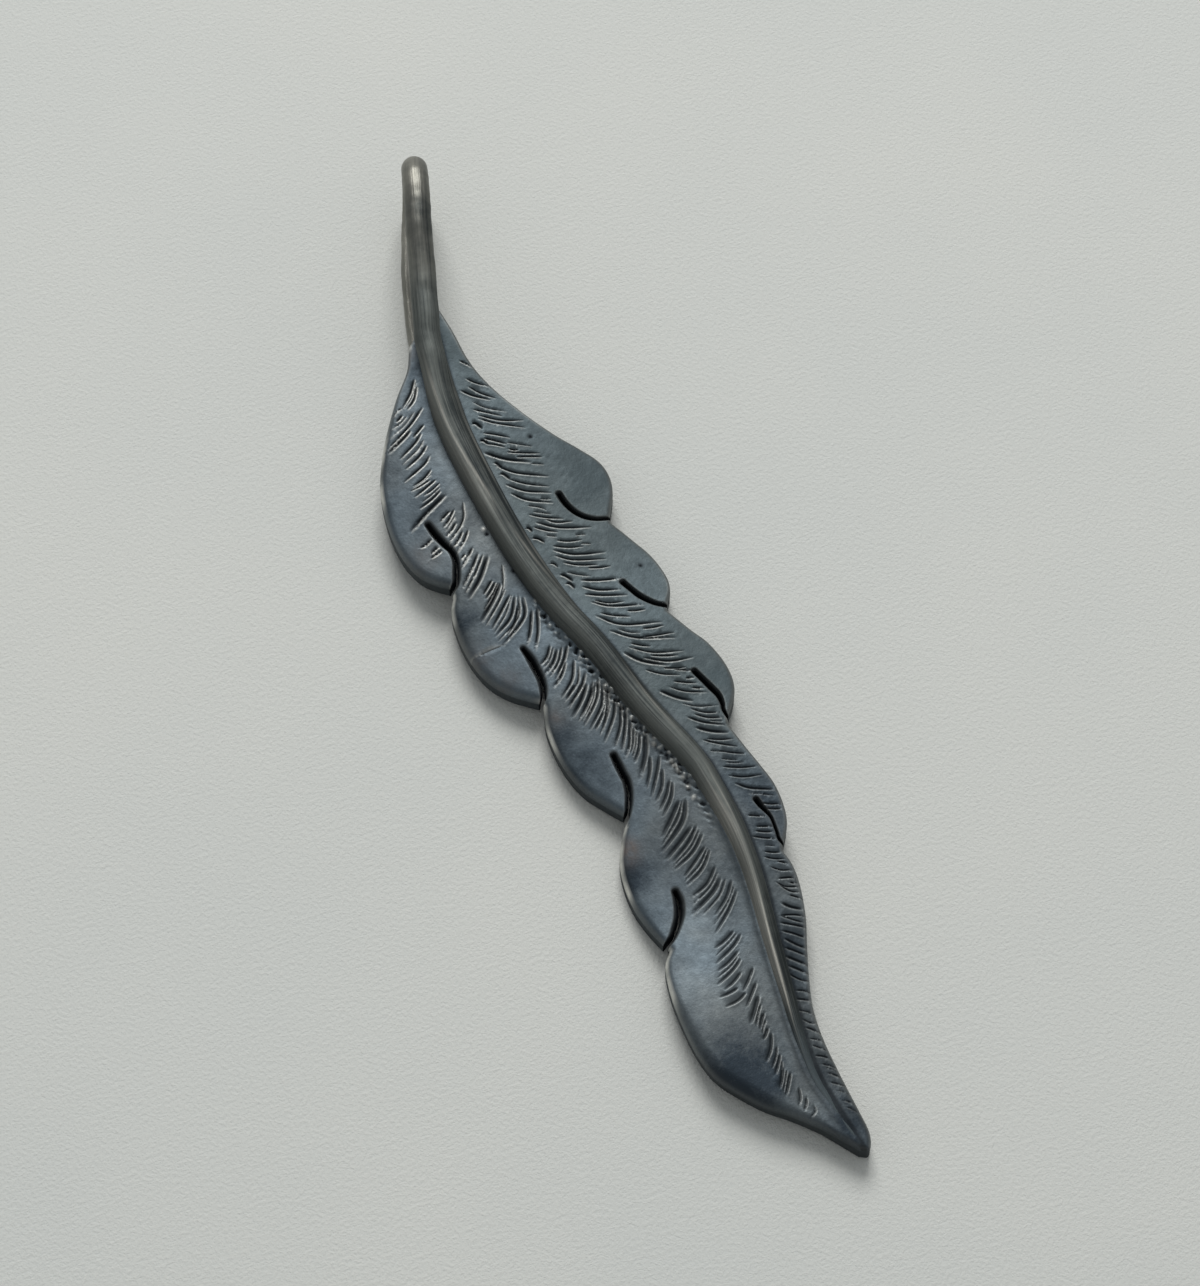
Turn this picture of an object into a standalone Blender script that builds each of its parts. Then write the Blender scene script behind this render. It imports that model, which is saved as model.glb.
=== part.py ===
"""Feather pendant: a sawn silver plate with a wire quill along its face.

The plate is cut to a feather's outline, with four saw cuts in each edge, and is
gently domed. One length of wire is the quill: it tapers down the plate's face,
leaves the plate at the top, and turns back under itself as the loop that a cord
or chain goes through. Its back leg is fixed under the plate's top end.

The pendant lies on its back. Sizes are in millimetres in the feather's own
coordinates, X across to the right, Y from the tip up to the loop, Z up from the
table, and the frame empty carries them to metres about the middle of the box.
"""

import bpy
import bmesh
import numpy as np

MM = 0.001

# Driving dimensions, in millimetres
WIRE_RADIUS = 0.82
SHEET_THICKNESS = 1.3
SOLDER_GAP = 0.27
CROWN_RADIUS = 34.0
GRID_STEP = 1.7
WORN_FLAT = 0.10
CURVE_STEPS = 4
TABLE_STEPS = 6
QUILL_STEPS = 3
QUILL_SIDES_RESOLUTION = 4

# The middle of the whole pendant's box, in the feather's coordinates
BOX_MIDDLE_X = -3.148
BOX_MIDDLE_Y = 34.925

# The plate's back above the table: its height along the quill, and how far the
# lower end is rolled, which lifts its left edge, as (Y, millimetres per millimetre)
BACK_HEIGHT = [(0.0, 0.24), (5.0, 0.29), (10.0, 0.32), (15.0, 0.47), (20.0, 0.76), (29.0, 0.95), (43.0, 1.42), (57.0, 1.97),
               (64.0, 2.15)]
ROLL = 0.17
ROLL_FULL_BELOW_Y = 9.0
ROLL_NONE_ABOVE_Y = 21.0

# Where the quill runs over the plate, from the tip up, as (Y, X, half width)
QUILL_ON_PLATE = [
    (0.5, -0.38, 0.24), (2.9, -0.82, 0.32), (5.0, -1.08, 0.40), (7.6, -0.87, 0.47),
    (9.8, -0.54, 0.53), (13.3, -0.03, 0.60), (17.1, 0.55, 0.64), (20.2, 0.72, 0.67),
    (23.3, 0.49, 0.71), (25.5, 0.12, 0.75), (29.5, -1.21, 0.80), (34.0, -2.29, 0.82),
    (37.0, -3.25, 0.82), (40.0, -3.93, 0.83), (44.0, -4.47, 0.86), (49.6, -4.83, 0.90),
    (52.6, -4.73, 0.90), (55.3, -4.40, 0.86), (57.0, -4.15, 0.82),
]

# The wire above the plate, up to the top of the loop, as (X, Y, Z)
LOOP_FRONT_LEG = [
    (-3.72, 58.4, 4.42), (-3.28, 59.9, 4.50), (-2.80, 61.4, 4.79), (-2.36, 62.9, 5.23),
    (-1.93, 64.3, 5.60), (-1.50, 65.6, 5.76),
]
LOOP_CENTRE_Y = 66.7
LOOP_RADIUS = 2.54
LOOP_FRONT_X = -1.15
LOOP_END_X = -0.42
LOOP_BACK_X = -1.55
LOOP_TURN_POINTS = 7
# The back leg, along the table and under the plate's top end, as (X, Y)
LOOP_BACK_LEG = [(-1.95, 65.6), (-2.60, 63.9), (-3.17, 62.0), (-3.75, 60.0), (-4.18, 58.0), (-4.48, 56.0), (-4.66, 54.2)]

# The plate's edge, lobe by lobe round from the top of the right edge, as (X, Y).
# Neighbouring lobes meet at the mouth of a saw cut.
RIGHT_LOBES = [
    [(-2.60, 59.6), (-2.35, 57.6), (-2.15, 55.2), (-1.55, 53.1), (-0.5, 50.9), (0.75, 48.9),
     (2.0, 47.3), (2.75, 46.2), (2.98, 45.1), (2.75, 43.9), (1.95, 42.35)],
    [(1.8, 41.85), (2.5, 40.5), (3.2, 39.0), (3.5, 37.4), (3.35, 36.3), (2.75, 35.35)],
    [(2.6, 34.9), (3.4, 33.3), (4.1, 32.0), (4.5, 30.2), (4.25, 28.6), (3.1, 27.0)],
    [(3.0, 26.5), (3.35, 24.9), (3.7, 23.5), (3.98, 22.1), (3.93, 20.6), (3.6, 19.4), (2.85, 18.3)],
    [(2.75, 18.0), (2.95, 17.0), (2.85, 15.7), (2.4, 13.9), (1.7, 12.1), (1.05, 10.3),
     (0.55, 8.6), (0.35, 6.8), (0.38, 4.6), (0.48, 2.2), (0.5, 0.75), (0.12, -0.15), (-0.42, -0.02)],
]
LEFT_LOBES = [
    [(-1.9, 1.95), (-3.1, 3.15), (-4.3, 4.2), (-5.3, 5.4), (-6.2, 6.8), (-6.6, 8.4), (-6.7, 10.2),
     (-6.65, 11.8), (-6.45, 13.2), (-6.15, 14.2), (-5.6, 14.9)],
    [(-5.75, 15.3), (-6.15, 16.7), (-6.4, 18.1), (-6.4, 19.6), (-6.15, 21.0), (-5.65, 22.1), (-5.0, 23.1)],
    [(-4.75, 23.7), (-5.5, 24.8), (-6.3, 26.1), (-6.75, 27.5), (-6.95, 29.0), (-6.9, 30.6), (-6.55, 31.95)],
    [(-6.65, 32.3), (-7.2, 32.75), (-8.1, 33.6), (-8.85, 34.7), (-9.3, 36.0), (-9.5, 37.5),
     (-9.45, 39.1), (-9.25, 39.95), (-8.9, 40.6)],
    [(-8.8, 41.3), (-9.5, 41.9), (-10.2, 42.8), (-10.65, 44.1), (-10.8, 45.6), (-10.7, 47.3),
     (-10.3, 49.2), (-9.5, 51.0), (-8.5, 52.7), (-7.3, 54.35), (-6.0, 55.9), (-5.25, 57.5)],
]

# The saw cuts, from the inner end out past the plate's edge, as (X, Y, width)
LEFT_CUTS = [
    [(-8.55, 45.6, 0.42), (-8.38, 44.8, 0.50), (-8.12, 44.0, 0.46), (-7.88, 43.4, 0.42),
     (-7.88, 42.7, 0.42), (-8.1, 42.0, 0.46), (-8.45, 41.3, 0.46), (-9.3, 40.7, 0.46)],
    [(-6.3, 35.75, 0.36), (-6.15, 35.1, 0.50), (-6.08, 34.4, 0.55), (-6.04, 33.6, 0.50),
     (-6.15, 32.9, 0.45), (-6.45, 32.25, 0.35), (-7.1, 31.8, 0.30)],
    [(-3.95, 27.35, 0.45), (-3.93, 26.7, 0.50), (-3.90, 26.1, 0.50), (-3.87, 25.5, 0.50),
     (-4.05, 24.75, 0.46), (-4.4, 24.0, 0.42), (-4.85, 23.4, 0.40), (-5.7, 22.8, 0.40)],
    [(-3.92, 18.1, 0.44), (-3.97, 17.5, 0.58), (-4.25, 16.7, 0.58), (-4.75, 16.0, 0.50),
     (-5.3, 15.45, 0.42), (-6.4, 14.85, 0.40)],
]
RIGHT_CUTS = [
    [(-0.45, 44.65, 0.42), (-0.35, 44.0, 0.42), (-0.1, 43.35, 0.38), (0.28, 42.82, 0.36),
     (0.78, 42.44, 0.32), (1.35, 42.22, 0.28), (2.6, 42.02, 0.30)],
    [(0.85, 37.65, 0.42), (1.1, 37.1, 0.38), (1.42, 36.45, 0.40), (1.85, 35.9, 0.38),
     (2.3, 35.5, 0.34), (3.4, 34.85, 0.30)],
    [(2.5, 30.55, 0.40), (2.75, 29.9, 0.40), (3.0, 29.2, 0.42), (3.2, 28.6, 0.38),
     (3.2, 28.0, 0.28), (3.1, 27.5, 0.22), (3.25, 26.4, 0.22)],
    [(2.55, 21.5, 0.36), (2.65, 21.05, 0.34), (2.8, 20.6, 0.26), (2.92, 20.1, 0.18),
     (2.88, 19.3, 0.18), (2.85, 18.6, 0.18), (3.4, 17.6, 0.18)],
]
CUT_HEAD_POINTS = 5


def clear_scene():
    """Remove every object that the scene starts with."""
    for item in list(bpy.data.objects):
        bpy.data.objects.remove(item, do_unlink=True)


def new_collection(name):
    """A collection of this name, linked to the scene."""
    collection = bpy.data.collections.new(name)
    bpy.context.scene.collection.children.link(collection)
    return collection


def metal(name, colour, roughness):
    """A plain metal material."""
    material = bpy.data.materials.new(name)
    material.use_nodes = True
    shader = material.node_tree.nodes["Principled BSDF"]
    shader.inputs["Base Color"].default_value = (*colour, 1.0)
    shader.inputs["Metallic"].default_value = 1.0
    shader.inputs["Roughness"].default_value = roughness
    return material


def smooth_line(points, steps):
    """A Catmull-Rom curve through the points, with this many steps between two of them."""
    knots = np.array(points, dtype=float)
    knots = np.vstack([2 * knots[0] - knots[1], knots, 2 * knots[-1] - knots[-2]])
    t = (np.arange(steps) / steps)[:, None]
    pieces = []
    for before, start, end, after in zip(knots, knots[1:], knots[2:], knots[3:]):
        bend = 2 * before - 5 * start + 4 * end - after
        twist = 3 * start - before - 3 * end + after
        pieces.append(0.5 * (2 * start + (end - before) * t + bend * t**2 + twist * t**3))
    return np.vstack(pieces + [knots[-2:-1]])


def quill_x(y):
    """Where the middle of the quill lies across the plate, at this distance from the tip."""
    table = smooth_line(QUILL_ON_PLATE, TABLE_STEPS)
    return np.interp(y, table[:, 0], table[:, 1])


def back_height(x, y):
    """Height of the plate's back: a crown on the quill, with the lower end rolled."""
    along = smooth_line(BACK_HEIGHT, TABLE_STEPS)
    aside = x - quill_x(y)
    t = np.clip((y - ROLL_FULL_BELOW_Y) / (ROLL_NONE_ABOVE_Y - ROLL_FULL_BELOW_Y), 0.0, 1.0)
    roll = ROLL * (1.0 - t * t * (3.0 - 2.0 * t))
    return np.interp(y, along[:, 0], along[:, 1]) - aside**2 / (2.0 * CROWN_RADIUS) - roll * aside


def add_object(name, data, collection, material=None):
    """Link a new object in a collection, under the frame empty."""
    item = bpy.data.objects.new(name, data)
    collection.objects.link(item)
    item.parent = bpy.data.objects["frame"]
    if material:
        item.data.materials.append(material)
    return item


def hide_cutter(item):
    """Mark an object as a cutter."""
    item.hide_render = True
    item.display_type = "WIRE"
    return item


def curve_to_mesh(curve_item, collection, material=None):
    """Replace a curve object by its mesh, with the loose end caps welded on."""
    bpy.context.view_layer.update()
    evaluated = curve_item.evaluated_get(bpy.context.evaluated_depsgraph_get())
    mesh = bpy.data.meshes.new_from_object(evaluated)
    name = curve_item.name
    bpy.data.objects.remove(curve_item, do_unlink=True)
    shape = bmesh.new()
    shape.from_mesh(mesh)
    bmesh.ops.remove_doubles(shape, verts=shape.verts, dist=0.002 * MM)
    bmesh.ops.recalc_face_normals(shape, faces=shape.faces)
    shape.to_mesh(mesh)
    shape.free()
    mesh.materials.clear()
    return add_object(name, mesh, collection, material)


def prism(name, loops, low, high, collection):
    """A flat outline, or several, made into upright walls between two heights."""
    curve = bpy.data.curves.new(name, "CURVE")
    curve.dimensions = "2D"
    curve.fill_mode = "BOTH"
    curve.extrude = (high - low) / 2 * MM
    for loop in loops:
        spline = curve.splines.new("POLY")
        spline.points.add(len(loop) - 1)
        flat = np.column_stack([loop * MM, np.zeros(len(loop)), np.ones(len(loop))])
        spline.points.foreach_set("co", flat.ravel())
        spline.use_cyclic_u = True
    item = add_object(name, curve, collection)
    solid = curve_to_mesh(item, collection)
    solid.location = (0.0, 0.0, (low + high) / 2 * MM)
    return hide_cutter(solid)


def plate_outline():
    """The whole edge of the plate: each lobe is smooth, and they meet at corners."""
    lobes = RIGHT_LOBES + LEFT_LOBES
    return np.vstack([smooth_line(lobe, CURVE_STEPS) for lobe in lobes])


def cut_outline(centre_line):
    """The two sides of a saw cut and its round inner end, as one closed loop."""
    line = smooth_line(centre_line, CURVE_STEPS)
    middle, half = line[:, :2], line[:, 2:] / 2
    along = np.gradient(middle, axis=0)
    along /= np.linalg.norm(along, axis=1)[:, None]
    aside = np.column_stack([-along[:, 1], along[:, 0]])
    turn = np.linspace(0.0, np.pi, CUT_HEAD_POINTS + 2)[1:-1, None]
    head = middle[0] + half[0] * (aside[0] * -np.cos(turn) - along[0] * np.sin(turn))
    return np.vstack([middle + aside * half, (middle - aside * half)[::-1], head])


def boolean(item, operation, cutter):
    """Add an exact Boolean to an object."""
    modifier = item.modifiers.new(operation.title(), "BOOLEAN")
    modifier.operation = operation
    modifier.solver = "EXACT"
    modifier.object = cutter


def make_vane(parts, cutters, material):
    """The feather's plate: a domed sheet, sawn to the outline and slotted."""
    edge = plate_outline()
    margin = GRID_STEP
    low, high = edge.min(axis=0) - margin, edge.max(axis=0) + margin
    columns, rows = np.ceil((high - low) / GRID_STEP).astype(int)
    shape = bmesh.new()
    bmesh.ops.create_grid(shape, x_segments=int(columns), y_segments=int(rows), size=0.5)
    mesh = bpy.data.meshes.new("vane")
    shape.to_mesh(mesh)
    shape.free()
    flat = np.empty(len(mesh.vertices) * 3)
    mesh.vertices.foreach_get("co", flat)
    x, y = (flat.reshape(-1, 3)[:, :2] * (high - low) + (low + high) / 2).T
    mesh.vertices.foreach_set("co", (np.column_stack([x, y, back_height(x, y)]) * MM).ravel())
    vane = add_object("vane", mesh, parts, material)
    solidify = vane.modifiers.new("Thickness", "SOLIDIFY")
    solidify.thickness = SHEET_THICKNESS * MM
    solidify.offset = 1.0
    boolean(vane, "INTERSECT", prism("outline", [edge], -3.0, 7.0, cutters))
    saw_cuts = [cut_outline(cut) for cut in LEFT_CUTS + RIGHT_CUTS]
    boolean(vane, "DIFFERENCE", prism("saw_cuts", saw_cuts, -4.0, 8.0, cutters))
    return vane


def quill_path():
    """The wire's middle from the tip to the end of the back leg, as (X, Y, Z, radius)."""
    points = []
    for y, x, half_width in QUILL_ON_PLATE:
        z = back_height(x, y) + SHEET_THICKNESS + SOLDER_GAP + half_width
        points.append((x, y, z, half_width))
    points += [(x, y, z, WIRE_RADIUS) for x, y, z in LOOP_FRONT_LEG]
    back_z = WIRE_RADIUS - WORN_FLAT
    for turn in np.linspace(np.pi / 2, -np.pi / 2, LOOP_TURN_POINTS):
        y = LOOP_CENTRE_Y + LOOP_RADIUS * np.cos(turn)
        z = back_z + LOOP_RADIUS * (1.0 + np.sin(turn))
        leg_x = LOOP_FRONT_X if turn > 0 else LOOP_BACK_X
        x = leg_x + (LOOP_END_X - leg_x) * np.cos(turn)
        points.append((x, y, z, WIRE_RADIUS))
    points += [(x, y, back_z, WIRE_RADIUS) for x, y in LOOP_BACK_LEG]
    return smooth_line(points, QUILL_STEPS)


def make_quill(parts, cutters, material):
    """The wire, with a narrow flat worn along the underside of its back leg."""
    path = quill_path()
    curve = bpy.data.curves.new("quill", "CURVE")
    curve.dimensions = "3D"
    curve.bevel_depth = WIRE_RADIUS * MM
    curve.bevel_resolution = QUILL_SIDES_RESOLUTION
    curve.use_fill_caps = True
    spline = curve.splines.new("POLY")
    spline.points.add(len(path) - 1)
    spline.points.foreach_set("co", np.column_stack([path[:, :3] * MM, np.ones(len(path))]).ravel())
    spline.points.foreach_set("radius", path[:, 3] / WIRE_RADIUS)
    quill = curve_to_mesh(add_object("quill", curve, parts), parts, material)
    quill.data.shade_smooth()
    below = bmesh.new()
    bmesh.ops.create_cube(below, size=2.0 * MM)
    block = bpy.data.meshes.new("worn_flat")
    below.to_mesh(block)
    below.free()
    cutter = hide_cutter(add_object("worn_flat", block, cutters))
    cutter.scale = (4.0, 10.0, 1.0)
    cutter.location = (-3.0 * MM, 60.0 * MM, -1.0 * MM)
    boolean(quill, "DIFFERENCE", cutter)
    return quill


def main():
    clear_scene()
    parts = new_collection("feather_pendant")
    cutters = new_collection("cutters")
    frame = bpy.data.objects.new("frame", None)
    parts.objects.link(frame)
    make_vane(parts, cutters, metal("oxidised_sheet", (0.105, 0.135, 0.160), 0.42))
    make_quill(parts, cutters, metal("rubbed_wire", (0.190, 0.195, 0.175), 0.38))
    frame.location = (-BOX_MIDDLE_X * MM, -BOX_MIDDLE_Y * MM, 0.0)
    bpy.context.view_layer.update()


main()
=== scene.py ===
# %% [markdown]
# # A silver feather pendant
# The object is a feather sawn from a sheet of silver, with a wire quill laid down its face. The wire leaves
# the feather at the top and turns back under itself, and that loop is what it hangs by. Everything is
# measured in millimetres in the feather's own plan: x across to the right, y up from the tip, z up from the
# table it lies on. The last step of each piece turns those into metres about the box's middle.
#
# The frame holds the same pendant as plain solids. Each piece below stands for one of them.

import bpy
import numpy as np
from mathutils.geometry import delaunay_2d_cdt
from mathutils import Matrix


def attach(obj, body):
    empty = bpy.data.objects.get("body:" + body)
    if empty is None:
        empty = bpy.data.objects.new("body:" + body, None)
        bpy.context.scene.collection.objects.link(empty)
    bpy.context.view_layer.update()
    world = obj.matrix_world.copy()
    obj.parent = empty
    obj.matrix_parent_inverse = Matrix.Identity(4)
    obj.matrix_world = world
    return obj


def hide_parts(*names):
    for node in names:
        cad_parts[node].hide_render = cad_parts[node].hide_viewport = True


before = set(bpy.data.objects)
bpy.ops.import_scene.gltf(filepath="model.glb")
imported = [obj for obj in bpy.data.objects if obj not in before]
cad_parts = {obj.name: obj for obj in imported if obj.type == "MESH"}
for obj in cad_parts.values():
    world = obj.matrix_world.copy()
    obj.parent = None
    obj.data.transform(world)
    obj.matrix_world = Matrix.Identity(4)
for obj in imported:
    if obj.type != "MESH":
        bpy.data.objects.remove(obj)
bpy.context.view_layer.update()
MM = 0.001
# The middle of the pendant's box, in the feather's plan
BOX_MIDDLE = np.array([-3.148, 34.925])
draws = np.random.default_rng(11)
print("frame pieces:", sorted(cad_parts))

# %% [markdown]
# ## Lines in plan
# A jeweller draws the outline on the sheet with a few marks and joins them by eye. A Catmull-Rom curve
# does the same: it passes through every mark, and its direction at a mark is that of the line between its
# neighbours. A Bezier curve could do it too, but each of its marks would need two handles, and handles
# can't be read off a drawing.


# %% Curves through marks
def smooth_line(marks, steps):
    """A Catmull-Rom curve through the marks: a cubic between each two, with this many steps."""
    knots = np.array(marks, dtype=float)
    knots = np.vstack([2 * knots[0] - knots[1], knots, 2 * knots[-1] - knots[-2]])
    t = (np.arange(steps) / steps)[:, None]
    pieces = []
    for before, start, end, after in zip(knots, knots[1:], knots[2:], knots[3:]):
        bend = 2 * before - 5 * start + 4 * end - after
        twist = 3 * start - before - 3 * end + after
        pieces.append(0.5 * (2 * start + (end - before) * t + bend * t**2 + twist * t**3))
    return np.vstack(pieces + [knots[-2:-1]])


# %% [markdown]
# Two soft shapes come back all through this script. A smooth step turns something on over a stretch
# without a crease, as a file or a cloth does. A bell is a soft spot, or a soft line.


# %% Smooth steps and bells
def smooth_step(low, high, value):
    """Nought below low, one above high, and an S between them."""
    t = np.clip((value - low) / (high - low), 0.0, 1.0)
    return t * t * (3.0 - 2.0 * t)


def bell(distance, width):
    """One at no distance, and less both ways: it falls with the square of the distance over the width."""
    return np.exp(-((distance / width) ** 2))


print("a smooth step and a bell, half way:", smooth_step(0.0, 1.0, 0.5), bell(0.5, 1.0).round(2))

# %% [markdown]
# The engraving, the filed edge and the film all depend on how far a point is from some line. Numpy
# measures that for whole arrays of points at once, and says as well how far along the line the nearest
# place is.


# %% Directions and distances
def normals(line):
    """The unit vector a quarter turn to the left of the line's own direction, at each of its points."""
    along = np.gradient(line, axis=0)
    along /= np.linalg.norm(along, axis=1)[:, None]
    return np.column_stack([-along[:, 1], along[:, 0]])

# So many points at a time are measured against a line, to spare memory
CHUNK = 4000


def distance_to(points, line):
    """The distance from each point to a line of short straight stretches, and how far along it is."""
    start, step = line[:-1], np.diff(line, axis=0)
    length = np.linalg.norm(step, axis=1)
    run = np.concatenate([[0.0], np.cumsum(length)])
    best, place = np.empty(len(points)), np.empty(len(points))
    for first in range(0, len(points), CHUNK):
        part = slice(first, first + CHUNK)
        offset = points[part, None, :] - start[None]
        share = np.clip((offset * step).sum(axis=2) / length**2, 0.0, 1.0)
        gap = np.linalg.norm(offset - share[:, :, None] * step, axis=2)
        nearest = gap.argmin(axis=1)
        rows = np.arange(len(nearest))
        best[part] = gap[rows, nearest]
        place[part] = run[nearest] + share[rows, nearest] * length[nearest]
    return best, place


span = np.array([[0.0, 0.0], [3.0, 0.0]])
print("from (1, 2) to a span of the x axis, and along it:", *distance_to(np.array([[1.0, 2.0]]), span))

# %% [markdown]
# Hand work is never quite even. A sum of waves in random directions is smooth everywhere and quick to
# work out, so it stands for the waviness of the sheet, the dents of the wire and the lumps of the solder.


# %% Smooth noise
def wander(x, y, size, seed):
    """Smooth noise about -1 to 1: the sum of nine sine waves of about this length in random directions."""
    waves = np.random.default_rng(seed)
    angle = waves.uniform(0.0, 2.0 * np.pi, 9)
    length = size * waves.uniform(0.6, 1.6, 9)
    shift = waves.uniform(0.0, 2.0 * np.pi, 9)
    phase = np.multiply.outer(x, np.cos(angle) / length) + np.multiply.outer(y, np.sin(angle) / length)
    return np.sin(2.0 * np.pi * phase + shift).sum(axis=-1) / 4.0


print("smooth noise at five places:", wander(np.arange(5.0), np.zeros(5), 1.0, 1).round(2))

# %% [markdown]
# ## The outline
# The feather's edge is a run of lobes. Two neighbours meet at the mouth of a saw cut, so each lobe is its
# own smooth curve and the corners fall out between them. One closed curve through all the marks would
# round those corners off. The marks go down the right edge and up the left.

# %% The lobes
RIGHT_LOBES = [
    [(-2.60, 59.6), (-2.35, 57.6), (-2.15, 55.2), (-1.55, 53.1), (-0.5, 50.9), (0.75, 48.9),
     (2.0, 47.3), (2.75, 46.2), (2.98, 45.1), (2.75, 43.9), (1.95, 42.35)],
    [(1.8, 41.85), (2.5, 40.5), (3.2, 39.0), (3.5, 37.4), (3.35, 36.3), (2.75, 35.35)],
    [(2.6, 34.9), (3.4, 33.3), (4.1, 32.0), (4.5, 30.2), (4.25, 28.6), (3.1, 27.0)],
    [(3.0, 26.5), (3.35, 24.9), (3.7, 23.5), (3.98, 22.1), (3.93, 20.6), (3.6, 19.4), (2.85, 18.3)],
    [(2.75, 18.0), (2.95, 17.0), (2.85, 15.7), (2.4, 13.9), (1.7, 12.1), (1.05, 10.3),
     (0.55, 8.6), (0.35, 6.8), (0.38, 4.6), (0.48, 2.2), (0.5, 0.75), (0.12, -0.15), (-0.42, -0.02)],
]
LEFT_LOBES = [
    [(-1.9, 1.95), (-3.1, 3.15), (-4.3, 4.2), (-5.3, 5.4), (-6.2, 6.8), (-6.6, 8.4), (-6.7, 10.2),
     (-6.65, 11.8), (-6.45, 13.2), (-6.15, 14.2), (-5.6, 14.9)],
    [(-5.75, 15.3), (-6.15, 16.7), (-6.4, 18.1), (-6.4, 19.6), (-6.15, 21.0), (-5.65, 22.1), (-5.0, 23.1)],
    [(-4.75, 23.7), (-5.5, 24.8), (-6.3, 26.1), (-6.75, 27.5), (-6.95, 29.0), (-6.9, 30.6), (-6.55, 31.95)],
    [(-6.65, 32.3), (-7.2, 32.75), (-8.1, 33.6), (-8.85, 34.7), (-9.3, 36.0), (-9.5, 37.5),
     (-9.45, 39.1), (-9.25, 39.95), (-8.9, 40.6)],
    [(-8.8, 41.3), (-9.5, 41.9), (-10.2, 42.8), (-10.65, 44.1), (-10.8, 45.6), (-10.7, 47.3),
     (-10.3, 49.2), (-9.5, 51.0), (-8.5, 52.7), (-7.3, 54.35), (-6.0, 55.9), (-5.25, 57.5)],
]

# %% [markdown]
# A saw cut is drawn as its middle line with a width at every mark, because the saw wanders and the cut
# isn't equally wide all along. It could be taken out of the finished sheet with a Boolean modifier, but
# that would cut through the fine triangles of the face. So the cuts go into the outline before any
# triangle is made.

# %% The saw cuts
# Each from its round inner end out past the edge, as (x, y, width)
CUTS = [
    [(-0.45, 44.65, 0.42), (-0.35, 44.0, 0.42), (-0.1, 43.35, 0.38), (0.28, 42.82, 0.36),
     (0.78, 42.44, 0.32), (1.35, 42.22, 0.28), (2.6, 42.02, 0.30)],
    [(0.85, 37.65, 0.42), (1.1, 37.1, 0.38), (1.42, 36.45, 0.40), (1.85, 35.9, 0.38),
     (2.3, 35.5, 0.34), (3.4, 34.85, 0.30)],
    [(2.5, 30.55, 0.40), (2.75, 29.9, 0.40), (3.0, 29.2, 0.42), (3.2, 28.6, 0.38),
     (3.2, 28.0, 0.28), (3.1, 27.5, 0.22), (3.25, 26.4, 0.22)],
    [(2.55, 21.5, 0.36), (2.65, 21.05, 0.34), (2.8, 20.6, 0.26), (2.92, 20.1, 0.18),
     (2.88, 19.3, 0.18), (2.85, 18.6, 0.18), (3.4, 17.6, 0.18)],
    [(-3.92, 18.1, 0.44), (-3.97, 17.5, 0.58), (-4.25, 16.7, 0.58), (-4.75, 16.0, 0.50),
     (-5.3, 15.45, 0.42), (-6.4, 14.85, 0.40)],
    [(-3.95, 27.35, 0.45), (-3.93, 26.7, 0.50), (-3.90, 26.1, 0.50), (-3.87, 25.5, 0.50),
     (-4.05, 24.75, 0.46), (-4.4, 24.0, 0.42), (-4.85, 23.4, 0.40), (-5.7, 22.8, 0.40)],
    [(-6.3, 35.75, 0.36), (-6.15, 35.1, 0.50), (-6.08, 34.4, 0.55), (-6.04, 33.6, 0.50),
     (-6.15, 32.9, 0.45), (-6.45, 32.25, 0.35), (-7.1, 31.8, 0.30)],
    [(-8.55, 45.6, 0.42), (-8.38, 44.8, 0.50), (-8.12, 44.0, 0.46), (-7.88, 43.4, 0.42),
     (-7.88, 42.7, 0.42), (-8.1, 42.0, 0.46), (-8.45, 41.3, 0.46), (-9.3, 40.7, 0.46)],
]
EDGE_STEPS = 10
CUT_STEPS = 8


def exit_point(path, edge):
    """Where a path first crosses the edge: its own index, the edge's index, and the point."""
    for index, (start, end) in enumerate(zip(path, path[1:])):
        step, sides = end - start, np.diff(edge, axis=0)
        cross = step[0] * sides[:, 1] - step[1] * sides[:, 0]
        offset = edge[:-1] - start
        share = (offset[:, 0] * sides[:, 1] - offset[:, 1] * sides[:, 0]) / cross
        place = (offset[:, 0] * step[1] - offset[:, 1] * step[0]) / cross
        hits = np.flatnonzero((share >= 0) & (share < 1) & (place >= 0) & (place < 1))
        if len(hits):
            return index, hits[0], start + share[hits[0]] * step
    raise ValueError("the cut doesn't reach the edge")


def cut_sides(cut):
    """A saw cut's left and right side from its inner end outwards, and the round end between them."""
    line = smooth_line(cut, CUT_STEPS)
    middle, half = line[:, :2], line[:, 2:] / 2
    aside = normals(middle)
    turn = np.linspace(-np.pi / 2, np.pi / 2, 13)[1:-1, None]
    back = np.array([-aside[0][1], aside[0][0]])
    head = middle[0] + half[0] * (-aside[0] * np.sin(turn) + back * np.cos(turn))
    return middle + aside * half, middle - aside * half, head


# %% [markdown]
# Both sides of a cut cross the edge once. The stretch of edge between the crossings drops out, and the
# cut's own outline takes its place: in along one side, round the inner end, and out along the other.

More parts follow.
